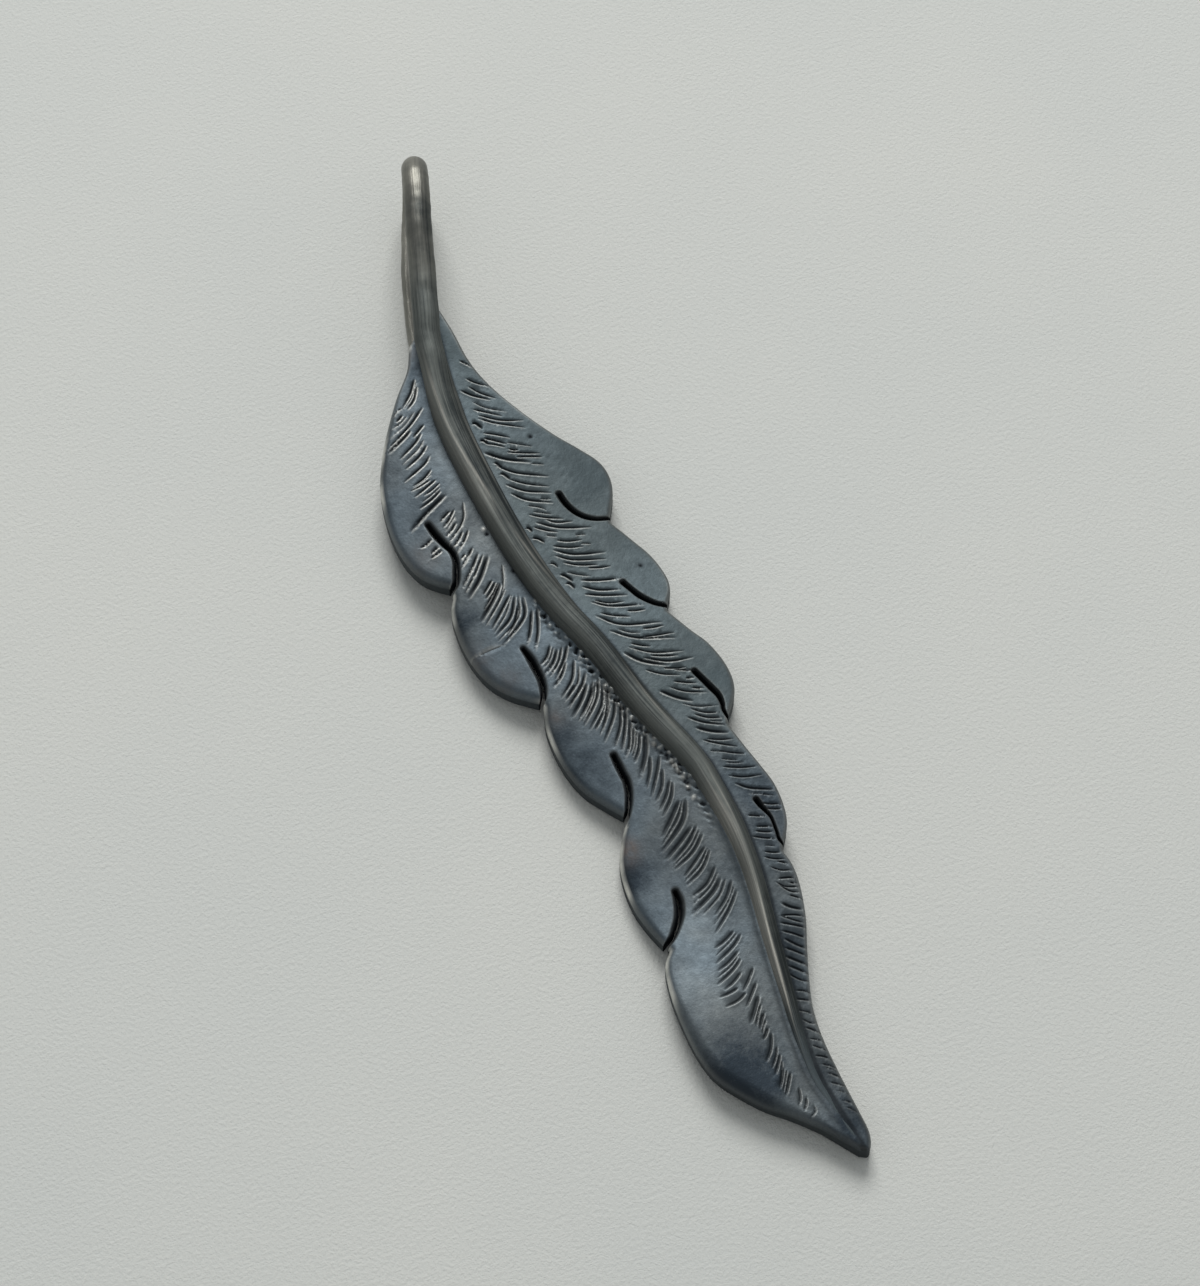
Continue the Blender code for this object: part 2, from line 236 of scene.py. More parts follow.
# %% The edge with its cuts
plain_edge = np.vstack([smooth_line(lobe, EDGE_STEPS) for lobe in RIGHT_LOBES + LEFT_LOBES])
stretches, place, cut_lines = [], 0, []
for cut in CUTS:
    left, right, head = cut_sides(cut)
    left_index, left_place, left_exit = exit_point(left, plain_edge)
    right_index, right_place, right_exit = exit_point(right, plain_edge)
    inward = np.vstack([left_exit, left[left_index::-1]])
    outward = np.vstack([right[: right_index + 1], right_exit])
    right_first = left_place == right_place and right_exit @ right_exit > left_exit @ left_exit
    if left_place > right_place or right_first:
        left_place, right_place = right_place, left_place
        inward, outward, head = outward[::-1], inward[::-1], head[::-1]
    stretches += [plain_edge[place : left_place + 1], inward, head, outward]
    cut_lines.append(np.vstack([inward, head, outward]))
    place = right_place + 1
stretches.append(plain_edge[place:])
edge = np.vstack(stretches)
apart = np.linalg.norm(edge - np.roll(edge, 1, axis=0), axis=1)
TOO_CLOSE = 0.012
edge = edge[apart > TOO_CLOSE]
print("points round the edge:", len(edge))

# %% [markdown]
# ## The feather's surface
# A sheet is domed over a stake, so its height is a crown along the quill that falls away with the square
# of the distance from it. The lower end has also been rolled: its left edge lifts and its right edge
# drops. The height is a formula and not a sculpted shape, so the back, the face, the wall and the quill
# can all stand on the same surface.

# %% Height of the sheet
SHEET = 1.3
CROWN_RADIUS = 34.0
ROLL = 0.17
BACK_HEIGHT = smooth_line(
    [(0.0, 0.24), (5.0, 0.29), (10.0, 0.32), (15.0, 0.47), (20.0, 0.76), (29.0, 0.95), (43.0, 1.42),
     (57.0, 1.97), (64.0, 2.15)], 12)
# Where the quill runs over the sheet, from the tip up, as (y, x, half width)
QUILL_MARKS = [
    (0.5, -0.38, 0.24), (2.9, -0.82, 0.32), (5.0, -1.08, 0.40), (7.6, -0.87, 0.47),
    (9.8, -0.54, 0.53), (13.3, -0.03, 0.60), (17.1, 0.55, 0.64), (20.2, 0.72, 0.67),
    (23.3, 0.49, 0.71), (25.5, 0.12, 0.75), (29.5, -1.21, 0.80), (34.0, -2.29, 0.82),
    (37.0, -3.25, 0.82), (40.0, -3.93, 0.83), (44.0, -4.47, 0.86), (49.6, -4.83, 0.90),
    (52.6, -4.73, 0.90), (55.3, -4.40, 0.86), (57.0, -4.15, 0.82),
]
QUILL_LINE = smooth_line(QUILL_MARKS, 12)


def from_quill(x, y):
    """How far a point is to the right of the quill's middle, in millimetres along x."""
    return x - np.interp(y, QUILL_LINE[:, 0], QUILL_LINE[:, 1])

def half_quill(y):
    """Half the quill's width, so far up the feather."""
    return np.interp(y, QUILL_LINE[:, 0], QUILL_LINE[:, 2])


def back_of_sheet(x, y):
    """Height of the sheet's back: the crown, less the offset's square, less the roll times the offset."""
    offset = from_quill(x, y)
    roll = ROLL * (1.0 - smooth_step(9.0, 21.0, y))
    crown = np.interp(y, BACK_HEIGHT[:, 0], BACK_HEIGHT[:, 1])
    return crown - offset**2 / (2.0 * CROWN_RADIUS) - roll * offset


print("height of the back under the quill, at the tip and at the top:", BACK_HEIGHT[[0, -1], 1])

# %% [markdown]
# ## The engraved barbs
# A graver is pushed from the quill outwards, so every stroke starts near the quill and runs out and down.
# A texture could draw the barbs, but the light catches their rims, so they are cut into the mesh. The
# hand changes its slant, length and spacing as it goes, so most strokes are given one by one: the width,
# then the start, the middle and the end. Only near the tip, where they are short and even, does a fan
# stand for a run of them: how many, how wide and how deep, and then its first and its last stroke.

# %% Strokes left of the quill
LEFT_STROKES = [
    (0.21, -5.85, 55.1, -6.35, 54.35, -7.1, 53.65), (0.21, -5.9, 54.55, -6.35, 53.8, -6.9, 53.4),
    (0.12, -7.25, 53.55, -7.55, 53.5, -7.9, 53.25), (0.21, -7.4, 53.1, -7.6, 52.95, -7.85, 52.85),
    (0.21, -6.15, 53.05, -7.2, 52.25, -8.8, 51.4), (0.12, -7.2, 52.9, -7.65, 52.65, -8.25, 52.5),
    (0.21, -6.45, 51.95, -6.85, 51.7, -7.25, 51.45), (0.30, -7.35, 51.9, -7.95, 51.55, -8.95, 51.1),
    (0.21, -6.8, 51.45, -7.35, 51.0, -8.4, 50.45), (0.21, -6.8, 50.55, -7.35, 50.1, -8.35, 49.65),
    (0.21, -6.9, 49.8, -7.4, 49.4, -8.7, 48.9), (0.21, -7.15, 48.9, -7.7, 48.55, -8.4, 48.35),
    (0.16, -7.45, 48.3, -8.1, 48.15, -8.65, 48.1), (0.20, -7.15, 48.15, -7.8, 47.9, -8.55, 47.65),
    (0.16, -7.0, 47.85, -7.6, 47.6, -8.05, 47.5), (0.22, -7.15, 47.35, -7.75, 47.05, -8.55, 46.8),
    (0.36, -7.05, 46.95, -8.25, 46.4, -9.55, 45.7), (0.16, -6.15, 46.0, -6.6, 44.9, -7.9, 43.9),
    (0.20, -7.1, 45.85, -7.5, 45.65, -7.8, 45.45), (0.20, -6.85, 45.8, -7.3, 45.35, -7.75, 45.05),
    (0.20, -7.05, 44.95, -7.4, 44.65, -7.8, 44.4), (0.24, -8.75, 44.6, -9.1, 44.4, -9.5, 44.35),
    (0.20, -6.9, 44.25, -7.3, 43.85, -7.75, 43.55), (0.20, -6.55, 44.2, -6.95, 43.7, -7.65, 43.15),
    (0.24, -8.55, 43.95, -8.8, 43.85, -9.05, 43.7), (0.24, -8.45, 43.65, -8.75, 43.55, -9.15, 43.45),
    (0.22, -6.75, 43.0, -7.15, 42.6, -7.75, 42.1), (0.20, -7.25, 42.85, -7.45, 42.7, -7.6, 42.55),
    (0.24, -6.6, 42.5, -7.2, 41.8, -8.1, 40.95), (0.34, -6.15, 42.05, -7.0, 41.0, -8.0, 40.15),
    (0.14, -5.5, 41.2, -5.8, 40.25, -6.2, 39.45), (0.22, -6.45, 40.55, -6.8, 40.25, -7.15, 39.95),
    (0.22, -6.3, 40.35, -6.65, 40.0, -7.1, 39.65), (0.38, -6.1, 40.1, -6.8, 39.35, -7.85, 38.45),
    (0.24, -5.85, 39.2, -6.6, 38.5, -7.45, 37.75), (0.26, -5.6, 38.95, -6.25, 37.9, -7.4, 37.2),
    (0.26, -5.15, 38.7, -5.55, 37.55, -7.15, 36.55), (0.24, -5.6, 38.35, -6.1, 37.55, -6.8, 36.95),
    (0.26, -5.0, 37.7, -5.5, 36.65, -6.0, 35.9), (0.24, -4.65, 37.65, -5.1, 36.4, -5.65, 35.45),
    (0.11, -9.45, 36.35, -8.4, 36.45, -7.3, 36.4), (0.24, -4.85, 35.2, -5.25, 34.65, -5.8, 34.35),
    (0.26, -4.55, 34.8, -5.05, 34.15, -5.8, 33.7), (0.24, -3.9, 34.8, -4.4, 34.05, -5.2, 33.25),
    (0.24, -4.4, 33.85, -4.9, 33.2, -5.55, 32.75), (0.24, -3.9, 33.75, -4.4, 32.75, -5.3, 32.0),
    (0.24, -3.6, 32.75, -4.1, 32.05, -5.15, 31.3), (0.24, -4.4, 32.3, -4.8, 32.0, -5.15, 31.7),
    (0.36, -3.8, 32.05, -4.35, 31.35, -5.2, 30.6), (0.24, -3.05, 32.05, -3.55, 31.0, -4.7, 29.9),
    (0.36, -3.45, 31.75, -4.0, 31.1, -4.7, 30.4), (0.24, -2.95, 31.6, -3.4, 30.55, -4.5, 29.5),
    (0.24, -2.75, 31.25, -3.25, 30.1, -3.95, 29.1), (0.24, -2.6, 30.5, -3.05, 29.6, -4.05, 28.45),
    (0.24, -3.5, 30.05, -3.9, 29.65, -4.3, 29.3), (0.24, -2.45, 30.0, -2.9, 28.9, -3.7, 27.85),
    (0.24, -2.2, 29.8, -2.7, 28.65, -3.4, 27.45), (0.24, -2.35, 28.75, -2.85, 27.6, -3.4, 26.95),
    (0.24, -2.3, 28.35, -2.6, 27.65, -2.95, 27.1), (0.24, -2.1, 27.85, -2.5, 27.05, -3.0, 26.45),
    (0.36, -1.75, 27.85, -2.25, 26.65, -3.05, 25.5), (0.25, -2.1, 26.3, -2.4, 25.6, -2.95, 24.75),
    (0.25, -1.6, 26.15, -2.05, 25.35, -2.85, 24.2), (0.25, -1.75, 25.3, -2.15, 24.4, -2.75, 23.75),
    (0.25, -1.65, 24.5, -2.1, 23.8, -2.75, 23.15), (0.25, -1.55, 24.3, -1.95, 23.5, -2.7, 22.75),
    (0.34, -1.65, 23.1, -2.3, 22.45, -3.2, 21.6), (0.36, -1.3, 22.95, -1.95, 21.85, -3.5, 20.8),
    (0.34, -1.65, 21.35, -2.4, 20.85, -3.5, 20.2), (0.25, -1.35, 21.25, -2.1, 20.55, -3.2, 19.9),
    (0.25, -1.25, 20.65, -2.1, 19.9, -3.3, 19.4), (0.25, -1.4, 19.9, -2.15, 19.35, -3.05, 18.75),
    (0.25, -1.25, 19.55, -2.0, 18.75, -3.1, 18.2), (0.25, -1.35, 18.5, -2.1, 17.8, -3.15, 17.4),
    (0.34, -1.35, 17.75, -2.05, 17.15, -3.5, 16.45), (0.25, -0.8, 17.35, -1.4, 16.6, -2.3, 15.9),
    (0.25, -0.8, 16.65, -1.6, 15.8, -2.7, 14.9), (0.25, -1.9, 14.5, -2.45, 14.2, -3.15, 13.95),
    (0.25, -1.6, 14.15, -2.25, 13.65, -3.4, 13.1), (0.25, -2.15, 13.25, -2.85, 12.85, -3.55, 12.6),
    (0.25, -2.2, 12.75, -2.85, 12.3, -3.85, 11.85), (0.25, -2.5, 12.0, -3.05, 11.65, -3.65, 11.4),
    (0.25, -1.75, 12.0, -2.15, 11.55, -2.7, 11.0), (0.25, -3.05, 11.2, -3.5, 11.1, -4.1, 11.05),
    (0.25, -1.95, 11.1, -2.35, 10.65, -2.9, 10.05), (0.25, -2.75, 10.75, -3.3, 10.5, -4.0, 10.4),
    (0.34, -2.15, 10.3, -2.55, 9.75, -3.1, 9.05), (0.25, -2.25, 9.25, -2.5, 8.95, -2.75, 8.5),
    (0.25, -2.4, 8.35, -2.65, 8.05, -2.85, 7.85), (0.25, -2.35, 7.95, -2.7, 7.2, -3.2, 6.6),
    (0.25, -2.55, 5.8, -2.85, 5.3, -3.15, 4.85), (0.25, -2.3, 5.4, -2.6, 4.95, -3.0, 4.35),
]
LEFT_FANS = [
    (3, 0.20, 0.09, (-2.35, 7.2, -2.7, 6.6, -3.1, 6.0), (-2.4, 6.2, -2.7, 5.7, -3.0, 5.3)),
    (3, 0.22, 0.09, (-2.1, 4.5, -2.3, 4.0, -2.6, 3.5), (-1.8, 3.2, -2.0, 2.9, -2.3, 2.6)),
]
print("strokes given one by one on the left:", len(LEFT_STROKES))

# %% [markdown]
# The right side is cut in the same way, and near the tip fans take over there too. A few short, deep
# nicks stand close beside the quill, and each of them is a fan of one stroke.

# %% Strokes right of the quill
RIGHT_STROKES = [
    (0.17, -2.7, 55.35, -2.45, 55.05, -2.1, 54.65), (0.17, -2.8, 54.05, -2.4, 53.6, -1.7, 53.1),
    (0.17, -2.85, 53.45, -2.35, 52.8, -1.65, 52.2), (0.21, -3.4, 53.35, -2.85, 52.8, -2.0, 52.2),
    (0.12, -3.0, 52.35, -2.4, 51.7, -1.4, 51.1), (0.17, -3.15, 51.85, -2.5, 51.4, -1.75, 50.9),
    (0.17, -3.0, 51.35, -1.9, 50.6, -0.65, 50.2), (0.17, -3.1, 51.15, -2.25, 50.5, -0.75, 49.7),
    (0.17, -3.2, 50.1, -2.65, 49.8, -1.85, 49.3), (0.21, -3.3, 49.75, -2.8, 49.4, -2.2, 48.95),
    (0.17, -3.35, 49.35, -2.85, 49.1, -2.35, 48.75), (0.12, -2.1, 49.0, -1.55, 48.7, -0.8, 48.3),
    (0.28, -3.6, 48.75, -2.6, 47.95, -1.3, 47.3), (0.17, -2.15, 48.55, -1.95, 48.4, -1.65, 48.3),
    (0.17, -2.3, 48.35, -1.55, 48.05, -0.55, 47.7), (0.17, -1.9, 47.85, -1.2, 47.65, -0.5, 47.4),
    (0.21, -3.25, 47.65, -2.3, 46.8, -0.7, 46.05), (0.12, -1.25, 47.15, -0.9, 47.0, -0.55, 46.85),
    (0.17, -2.9, 46.55, -2.05, 45.9, -0.9, 45.35), (0.21, -3.2, 46.25, -2.25, 45.45, -0.95, 44.9),
    (0.21, -3.15, 45.6, -2.4, 44.85, -1.1, 44.2), (0.12, -1.65, 44.65, -1.3, 44.5, -1.05, 44.45),
    (0.13, -2.5, 44.45, -1.9, 44.1, -1.6, 43.8), (0.12, -2.35, 43.95, -1.9, 43.7, -1.45, 43.45),
    (0.17, -2.65, 43.85, -1.85, 43.35, -0.9, 42.95), (0.17, -1.85, 43.2, -1.3, 42.8, -0.45, 42.6),
    (0.21, -2.45, 43.2, -1.25, 42.4, 0.4, 41.9), (0.17, -2.7, 42.95, -2.1, 42.5, -1.55, 42.2),
    (0.12, -2.25, 42.2, -2.0, 42.05, -1.7, 41.9), (0.17, -1.75, 41.65, -1.15, 41.35, -0.4, 41.2),
    (0.12, -0.6, 41.6, -0.25, 41.55, 0.0, 41.45), (0.17, -2.1, 41.35, -1.3, 40.95, -0.5, 40.75),
    (0.21, -2.2, 41.1, -1.15, 40.4, 0.55, 40.0), (0.12, -0.5, 40.95, -0.3, 40.9, 0.05, 40.75),
    (0.17, -2.25, 40.7, -1.3, 40.05, 0.4, 39.55), (0.17, -1.95, 40.1, -1.2, 39.65, -0.15, 39.3),
    (0.12, -2.0, 39.4, -1.5, 39.05, -0.85, 38.7), (0.17, -0.7, 39.25, -0.05, 39.05, 0.55, 38.95),
    (0.21, -1.4, 38.6, -0.35, 38.2, 0.8, 37.95), (0.21, -1.5, 38.15, -0.7, 37.6, 0.4, 37.25),
    (0.21, -1.55, 37.6, -0.6, 37.15, 0.65, 36.75), (0.17, -1.2, 37.0, -0.5, 36.55, 0.35, 36.35),
    (0.21, -1.4, 36.95, -0.45, 36.3, 1.25, 35.8), (0.17, -1.2, 36.05, -0.6, 35.65, 0.3, 35.25),
    (0.21, -1.5, 35.95, -0.35, 34.9, 1.8, 34.3), (0.17, 0.35, 35.65, 0.8, 35.5, 1.35, 35.4),
    (0.21, -1.1, 34.7, 0.15, 33.75, 2.15, 33.05), (0.12, -0.65, 34.65, -0.15, 34.25, 0.45, 34.0),
    (0.17, 0.75, 34.2, 1.35, 34.05, 1.95, 34.0), (0.17, 0.45, 33.7, 1.35, 33.5, 2.35, 33.35),
    (0.17, -0.3, 33.5, 0.15, 33.2, 0.65, 32.95), (0.17, -0.5, 33.3, 0.7, 32.5, 2.3, 32.05),
    (0.28, -0.9, 33.05, -0.15, 32.2, 1.15, 31.45), (0.17, 0.5, 32.35, 1.25, 32.05, 1.95, 31.85),
    (0.21, 0.05, 32.35, 1.35, 31.65, 2.7, 31.45), (0.17, -0.15, 31.55, 0.6, 31.0, 1.55, 30.6),
    (0.17, 0.9, 31.3, 1.6, 31.05, 2.1, 30.95), (0.17, 1.45, 31.0, 2.05, 30.75, 2.65, 30.55),
    (0.17, 1.1, 30.3, 1.7, 30.0, 2.3, 29.75), (0.17, 1.85, 30.25, 2.05, 30.2, 2.3, 30.15),
    (0.17, 0.75, 30.0, 1.5, 29.45, 2.55, 29.0), (0.28, 0.1, 29.95, 0.85, 29.25, 1.6, 28.75),
    (0.17, 1.95, 29.55, 2.25, 29.4, 2.55, 29.3), (0.12, 1.0, 28.75, 1.8, 28.25, 2.85, 27.95),
    (0.17, 1.35, 28.25, 2.0, 27.75, 2.75, 27.5), (0.17, 1.4, 27.85, 2.0, 27.4, 2.85, 27.1),
    (0.21, 0.95, 27.8, 1.65, 27.2, 2.7, 26.65), (0.12, 2.05, 27.15, 2.4, 27.0, 2.75, 26.85),
    (0.28, 1.15, 27.0, 1.85, 26.5, 2.7, 26.1), (0.17, 1.45, 26.1, 2.1, 25.8, 2.8, 25.6),
    (0.17, 1.2, 26.1, 1.9, 25.6, 2.85, 25.05), (0.12, 1.3, 25.3, 1.75, 25.1, 2.25, 24.85),
    (0.17, 1.85, 25.1, 2.35, 24.8, 3.1, 24.45), (0.12, 1.7, 24.6, 2.1, 24.4, 2.55, 24.2),
    (0.12, 1.85, 24.3, 2.3, 24.1, 2.8, 23.95), (0.17, 1.6, 24.1, 2.5, 23.7, 3.45, 23.45),
    (0.17, 1.7, 23.45, 2.5, 23.05, 3.5, 22.85), (0.21, 1.85, 22.85, 2.55, 22.25, 3.85, 21.7),
    (0.12, 2.3, 22.0, 2.95, 21.7, 3.65, 21.35), (0.17, 2.6, 21.2, 3.25, 20.9, 3.8, 20.75),
    (0.17, 2.8, 20.75, 3.3, 20.55, 3.8, 20.4), (0.17, 1.75, 20.7, 2.4, 20.4, 2.65, 20.3),
    (0.17, 1.9, 19.9, 2.3, 19.75, 2.75, 19.6), (0.17, 1.75, 19.65, 2.15, 19.45, 2.65, 19.25),
    (0.17, 1.45, 19.4, 2.0, 19.1, 2.6, 18.85), (0.12, 1.9, 18.65, 2.15, 18.55, 2.4, 18.4),
    (0.17, 1.75, 18.3, 2.15, 18.1, 2.6, 17.95), (0.17, 1.6, 18.0, 2.1, 17.7, 2.65, 17.5),
    (0.17, 2.2, 17.5, 2.45, 17.35, 2.7, 17.15), (0.17, 1.7, 17.3, 2.15, 16.95, 2.75, 16.75),
    (0.17, 2.35, 16.1, 2.6, 15.95, 2.8, 15.9), (0.17, 1.75, 16.1, 2.15, 15.6, 2.7, 15.35),
]
RIGHT_FANS = [
    (2, 0.17, 0.09, (1.9, 16.5, 2.4, 16.3, 2.85, 16.1), (1.6, 16.3, 2.0, 15.95, 2.8, 15.6)),
    (1, 0.18, 0.09, (2.0, 15.4, 2.3, 15.2, 2.7, 14.9), None),
    (1, 0.28, 0.14, (1.4, 15.1, 1.8, 14.7, 2.5, 14.3), None),
    (3, 0.22, 0.11, (1.1, 14.5, 1.8, 14.15, 2.45, 13.8), (0.8, 13.5, 1.3, 13.1, 1.95, 12.6)),
    (5, 0.22, 0.10, (0.7, 13.0, 1.2, 12.5, 1.75, 12.0), (0.15, 10.9, 0.55, 10.5, 1.05, 10.1)),
    (2, 0.24, 0.10, (0.1, 9.9, 0.5, 9.7, 0.9, 9.4), (0.0, 9.4, 0.35, 9.15, 0.75, 8.9)),
    (6, 0.17, 0.07, (-0.3, 8.7, 0.05, 8.5, 0.4, 8.2), (-0.4, 5.9, -0.05, 5.65, 0.3, 5.3)),
    (6, 0.16, 0.06, (-0.3, 5.3, 0.05, 5.05, 0.4, 4.75), (-0.1, 2.4, 0.15, 2.2, 0.42, 1.95)),
]
# Short deep nicks close along the quill's right side
NICKS = [
    (1, 0.26, 0.16, (-3.62, 50.95, -3.4, 50.9, -3.15, 50.4), None),
    (1, 0.24, 0.14, (-3.6, 49.65, -3.4, 49.6, -3.2, 49.25), None),
    (1, 0.18, 0.09, (-3.45, 48.6, -3.3, 48.5, -3.1, 48.2), None),
    (1, 0.24, 0.12, (-3.35, 47.95, -3.2, 47.8, -3.0, 47.3), None),
    (1, 0.24, 0.12, (-3.3, 47.1, -3.1, 47.0, -2.85, 46.5), None),
    (1, 0.20, 0.12, (-3.2, 43.05, -3.05, 43.0, -2.95, 42.7), None),
    (1, 0.20, 0.13, (-3.1, 42.3, -2.8, 42.15, -2.5, 41.75), None),
    (1, 0.16, 0.09, (-2.75, 40.3, -2.55, 40.2, -2.4, 39.9), None),
    (1, 0.24, 0.14, (-2.45, 39.4, -2.2, 39.2, -1.9, 38.7), None),
    (1, 0.22, 0.12, (-2.35, 38.7, -2.15, 38.6, -2.0, 38.2), None),
]
print("strokes given one by one on the right:", len(RIGHT_STROKES))

# %% [markdown]
# A stroke is a curve through its three marks. The strokes of a fan waver in place, length and strength,
# as a hand does, and on the left a fainter stroke slips in here and there where two others leave room for
# it. The random numbers come from a generator with a fixed seed, so every run cuts the same feather.

# %% From marks to strokes
WAVER = 0.04
CROWDED = 0.15
STROKE_STEPS = 8
DEEPEST = 0.17


def one_stroke(fan, share, strength, side):
    """The stroke at this share of the way through a fan, with the waver of a hand in its place and length."""
    _, width, depth, first, last = fan
    marks = np.array(first, dtype=float)
    if last:
        marks += share * (np.array(last) - marks)
        marks = marks + draws.normal(0.0, WAVER, 6)
    start, middle, end = marks.reshape(3, 2)
    longer = 0.16 if side < 0 else 0.0
    start = start + (start - middle) * (draws.uniform(-0.15, 0.10) + longer) * bool(last)
    end = end + (end - middle) * (draws.uniform(-0.20, 0.15) + longer) * bool(last)
    strong = draws.uniform(0.8, 1.2) if last else 1.0
    curve = smooth_line([start, middle, end], STROKE_STEPS)
    return curve, width * strong * strength, depth * strong * strength, side


def fan_strokes(fans, side):
    """Every stroke of the fans, evenly spaced, and here and there a fine one between two of them."""
    strokes = []
    for fan in fans:
        count = fan[0]
        for number in range(count):
            share = number / max(count - 1, 1)
            strokes.append(one_stroke(fan, share, 1.0, side))
            if number < count - 1 and draws.uniform() < CROWDED:
                strokes.append(one_stroke(fan, share + 0.5 / (count - 1), draws.uniform(0.55, 0.9), side))
    return strokes


def lone_stroke(row, side, thinner=1.0):
    """A stroke given by one row: half as deep as it is wide, up to the deepest that the graver cuts."""
    width = row[0] * thinner
    start, middle, end = np.array(row[1:]).reshape(3, 2)
    longer = 0.14 if side > 0 else 0.08
    start, end = start + longer * (start - middle), end + (longer + 0.04) * (end - middle)
    return smooth_line([start, middle, end], STROKE_STEPS), width, min(0.5 * width, DEEPEST), side


def fine_between(rows):
    """A fainter stroke half way between two neighbours, where they leave room for it."""
    fine = []
    for row, following in zip(rows, rows[1:]):
        between = (np.array(row) + np.array(following)) / 2.0
        apart = np.linalg.norm(np.array(row[3:5]) - np.array(following[3:5]))
        if 0.42 < apart < 0.95 and draws.uniform() < 0.6:
            between[1:] += draws.normal(0.0, 0.5 * WAVER, 6)
            fine.append(lone_stroke(between, 1, draws.uniform(0.5, 0.7)))
    return fine


strokes = [lone_stroke(row, 1) for row in LEFT_STROKES] + fine_between(LEFT_STROKES)
strokes += [lone_stroke(row, -1) for row in RIGHT_STROKES]
strokes += fan_strokes(LEFT_FANS, 1) + fan_strokes(RIGHT_FANS, -1) + fan_strokes(NICKS, -1)
print("strokes:", len(strokes))

# %% [markdown]
# Across a stroke the depth falls in a straight line to the bottom and comes back up, and the stroke is
# pointed at both ends. The wall that faces away from the light is painted black: patina with painted
# shade on it. The other wall, which faces the light, has a painted highlight along its rim, and the metal
# pushed aside stands up there as a low burr. All four are worked out from the same two numbers, how far
# across the stroke and how far along it a point is, so they always lie in step.

# %% How deep, how dark and how bright a stroke is
# Shares of the stroke's width: its two walls, and where the painted highlight and the burr run
DARK_WALL, LIT_WALL, HIGHLIGHT_AT, BURR = 0.50, 0.42, 0.38, 0.48


def engrave(x, y):
    """Depth below the sheet, burr height, patina with painted shade, and painted highlight, over all strokes.
    """
    points = np.column_stack([x, y])
    cut, burr, dark, lit_wall_highlight = np.zeros((4, len(x)))
    for line, width, depth, side in strokes:
        low, high = line.min(axis=0) - width * 1.5, line.max(axis=0) + width * 1.5
        near = np.flatnonzero(((points > low) & (points < high)).all(axis=1))
        if not len(near):
            continue
        gap, place = distance_to(points[near], line)
        nearest = np.linalg.norm(points[near, None] - line[None], axis=2).argmin(axis=1)
        facing = ((points[near] - line[nearest]) * normals(line)[nearest]).sum(axis=1) * side
        across = np.where(facing > 0, gap, -gap)
        share = place / np.linalg.norm(np.diff(line, axis=0), axis=1).sum()
        point = np.clip(np.minimum(share / 0.16, (1.0 - share) / 0.34), 0.0, 1.0) ** 0.7
        narrowed = width * (0.4 + 0.6 * point)
        dark_side = across / (DARK_WALL * narrowed)
        wall = np.where(across < 0, 1.0 + dark_side, 1.0 - across / (LIT_WALL * narrowed))
        cut[near] = np.maximum(cut[near], 0.95 * depth * point * np.clip(wall, 0.0, 1.0))
        burr[near] = np.maximum(burr[near], 0.2 * depth * point * bell(across - BURR * width, 0.18 * width))
        # Black on the wall that faces away from the light: patina with painted shade
        black_patina_and_shade = np.where(across < 0, 1.5 + 1.5 * dark_side, 1.0 - across / (0.16 * narrowed))
        rubbed_back = 0.34 * smooth_step(35.0, 25.0, line[0, 1]) if side > 0 else 0.0
        strength = min(depth / 0.08, 1.0) * (1.0 - rubbed_back)
        dark[near] = np.maximum(dark[near], point**0.5 * np.clip(black_patina_and_shade, 0.0, 1.0) * strength)
        spread = max(0.17 * width, 0.05 if side > 0 else 0.038)
        # Painted highlight along the rim of the wall that faces the light
        rim_highlight = bell(across - HIGHLIGHT_AT * width, spread)
        lit_wall_highlight[near] = np.maximum(lit_wall_highlight[near], point * rim_highlight * min(depth / (0.10 if side > 0 else 0.13), 1.0))
    return cut, burr, dark, lit_wall_highlight * (1.0 - dark)


depths = [float(depth) for _, _, depth, _ in strokes]
print("shallowest and deepest stroke, in millimetres:", round(min(depths), 3), round(max(depths), 3))

# %% [markdown]
# ## Points for the mesh
# A stroke is only a quarter of a millimetre wide, so the points have to follow it: a plain grid as fine
# as that would take many more of them. They go down in this order, and a later point is dropped where one
# already stands: the edge and rows just inside it, the rows along each stroke, and an even scatter over
# the rest, closer where the metal is worked. One triangulation joins them all.


# %% Rows along the edge and the strokes
def rounding(x, y):
    """Radius of the filed edge: larger round the bottom lobe, smallest at the top."""
    lower_left = smooth_step(14.5, 9.0, y) * smooth_step(-0.5, -1.5, from_quill(x, y))
    left = smooth_step(-2.0, -4.0, from_quill(x, y))
    low = smooth_step(12.0, 2.0, y)
    return 0.18 + 0.05 * wander(x, y, 6.0, 3) + 0.26 * left + 0.22 * lower_left + 0.1 * low


def edge_rows(line, shares, radius):
    """Rows of points inside the edge, at these shares of the rounding's radius."""
    inward = -normals(line)
    return [line + inward * (radius * share)[:, None] for share in shares]


def stroke_rows():
    """Seven rows along every stroke: its bottom, both walls and rims, and past the burr."""
    rows = []
    for line, width, _, side in strokes:
        dense = smooth_line(line[::4], 6)
        across = normals(dense) * side * width
        rows += [dense + share * across for share in (0.0, -0.5, 0.36, -0.25, 0.18, 0.54, 0.8)]
    return np.vstack(rows)


# %% [markdown]
# The scatter is a grid of equal triangles. To drop the points that stand too close together, the plan is
# ruled into small square cells, and only one point may stand in a cell. Comparing the numbers of cells is
# much quicker than measuring every distance.


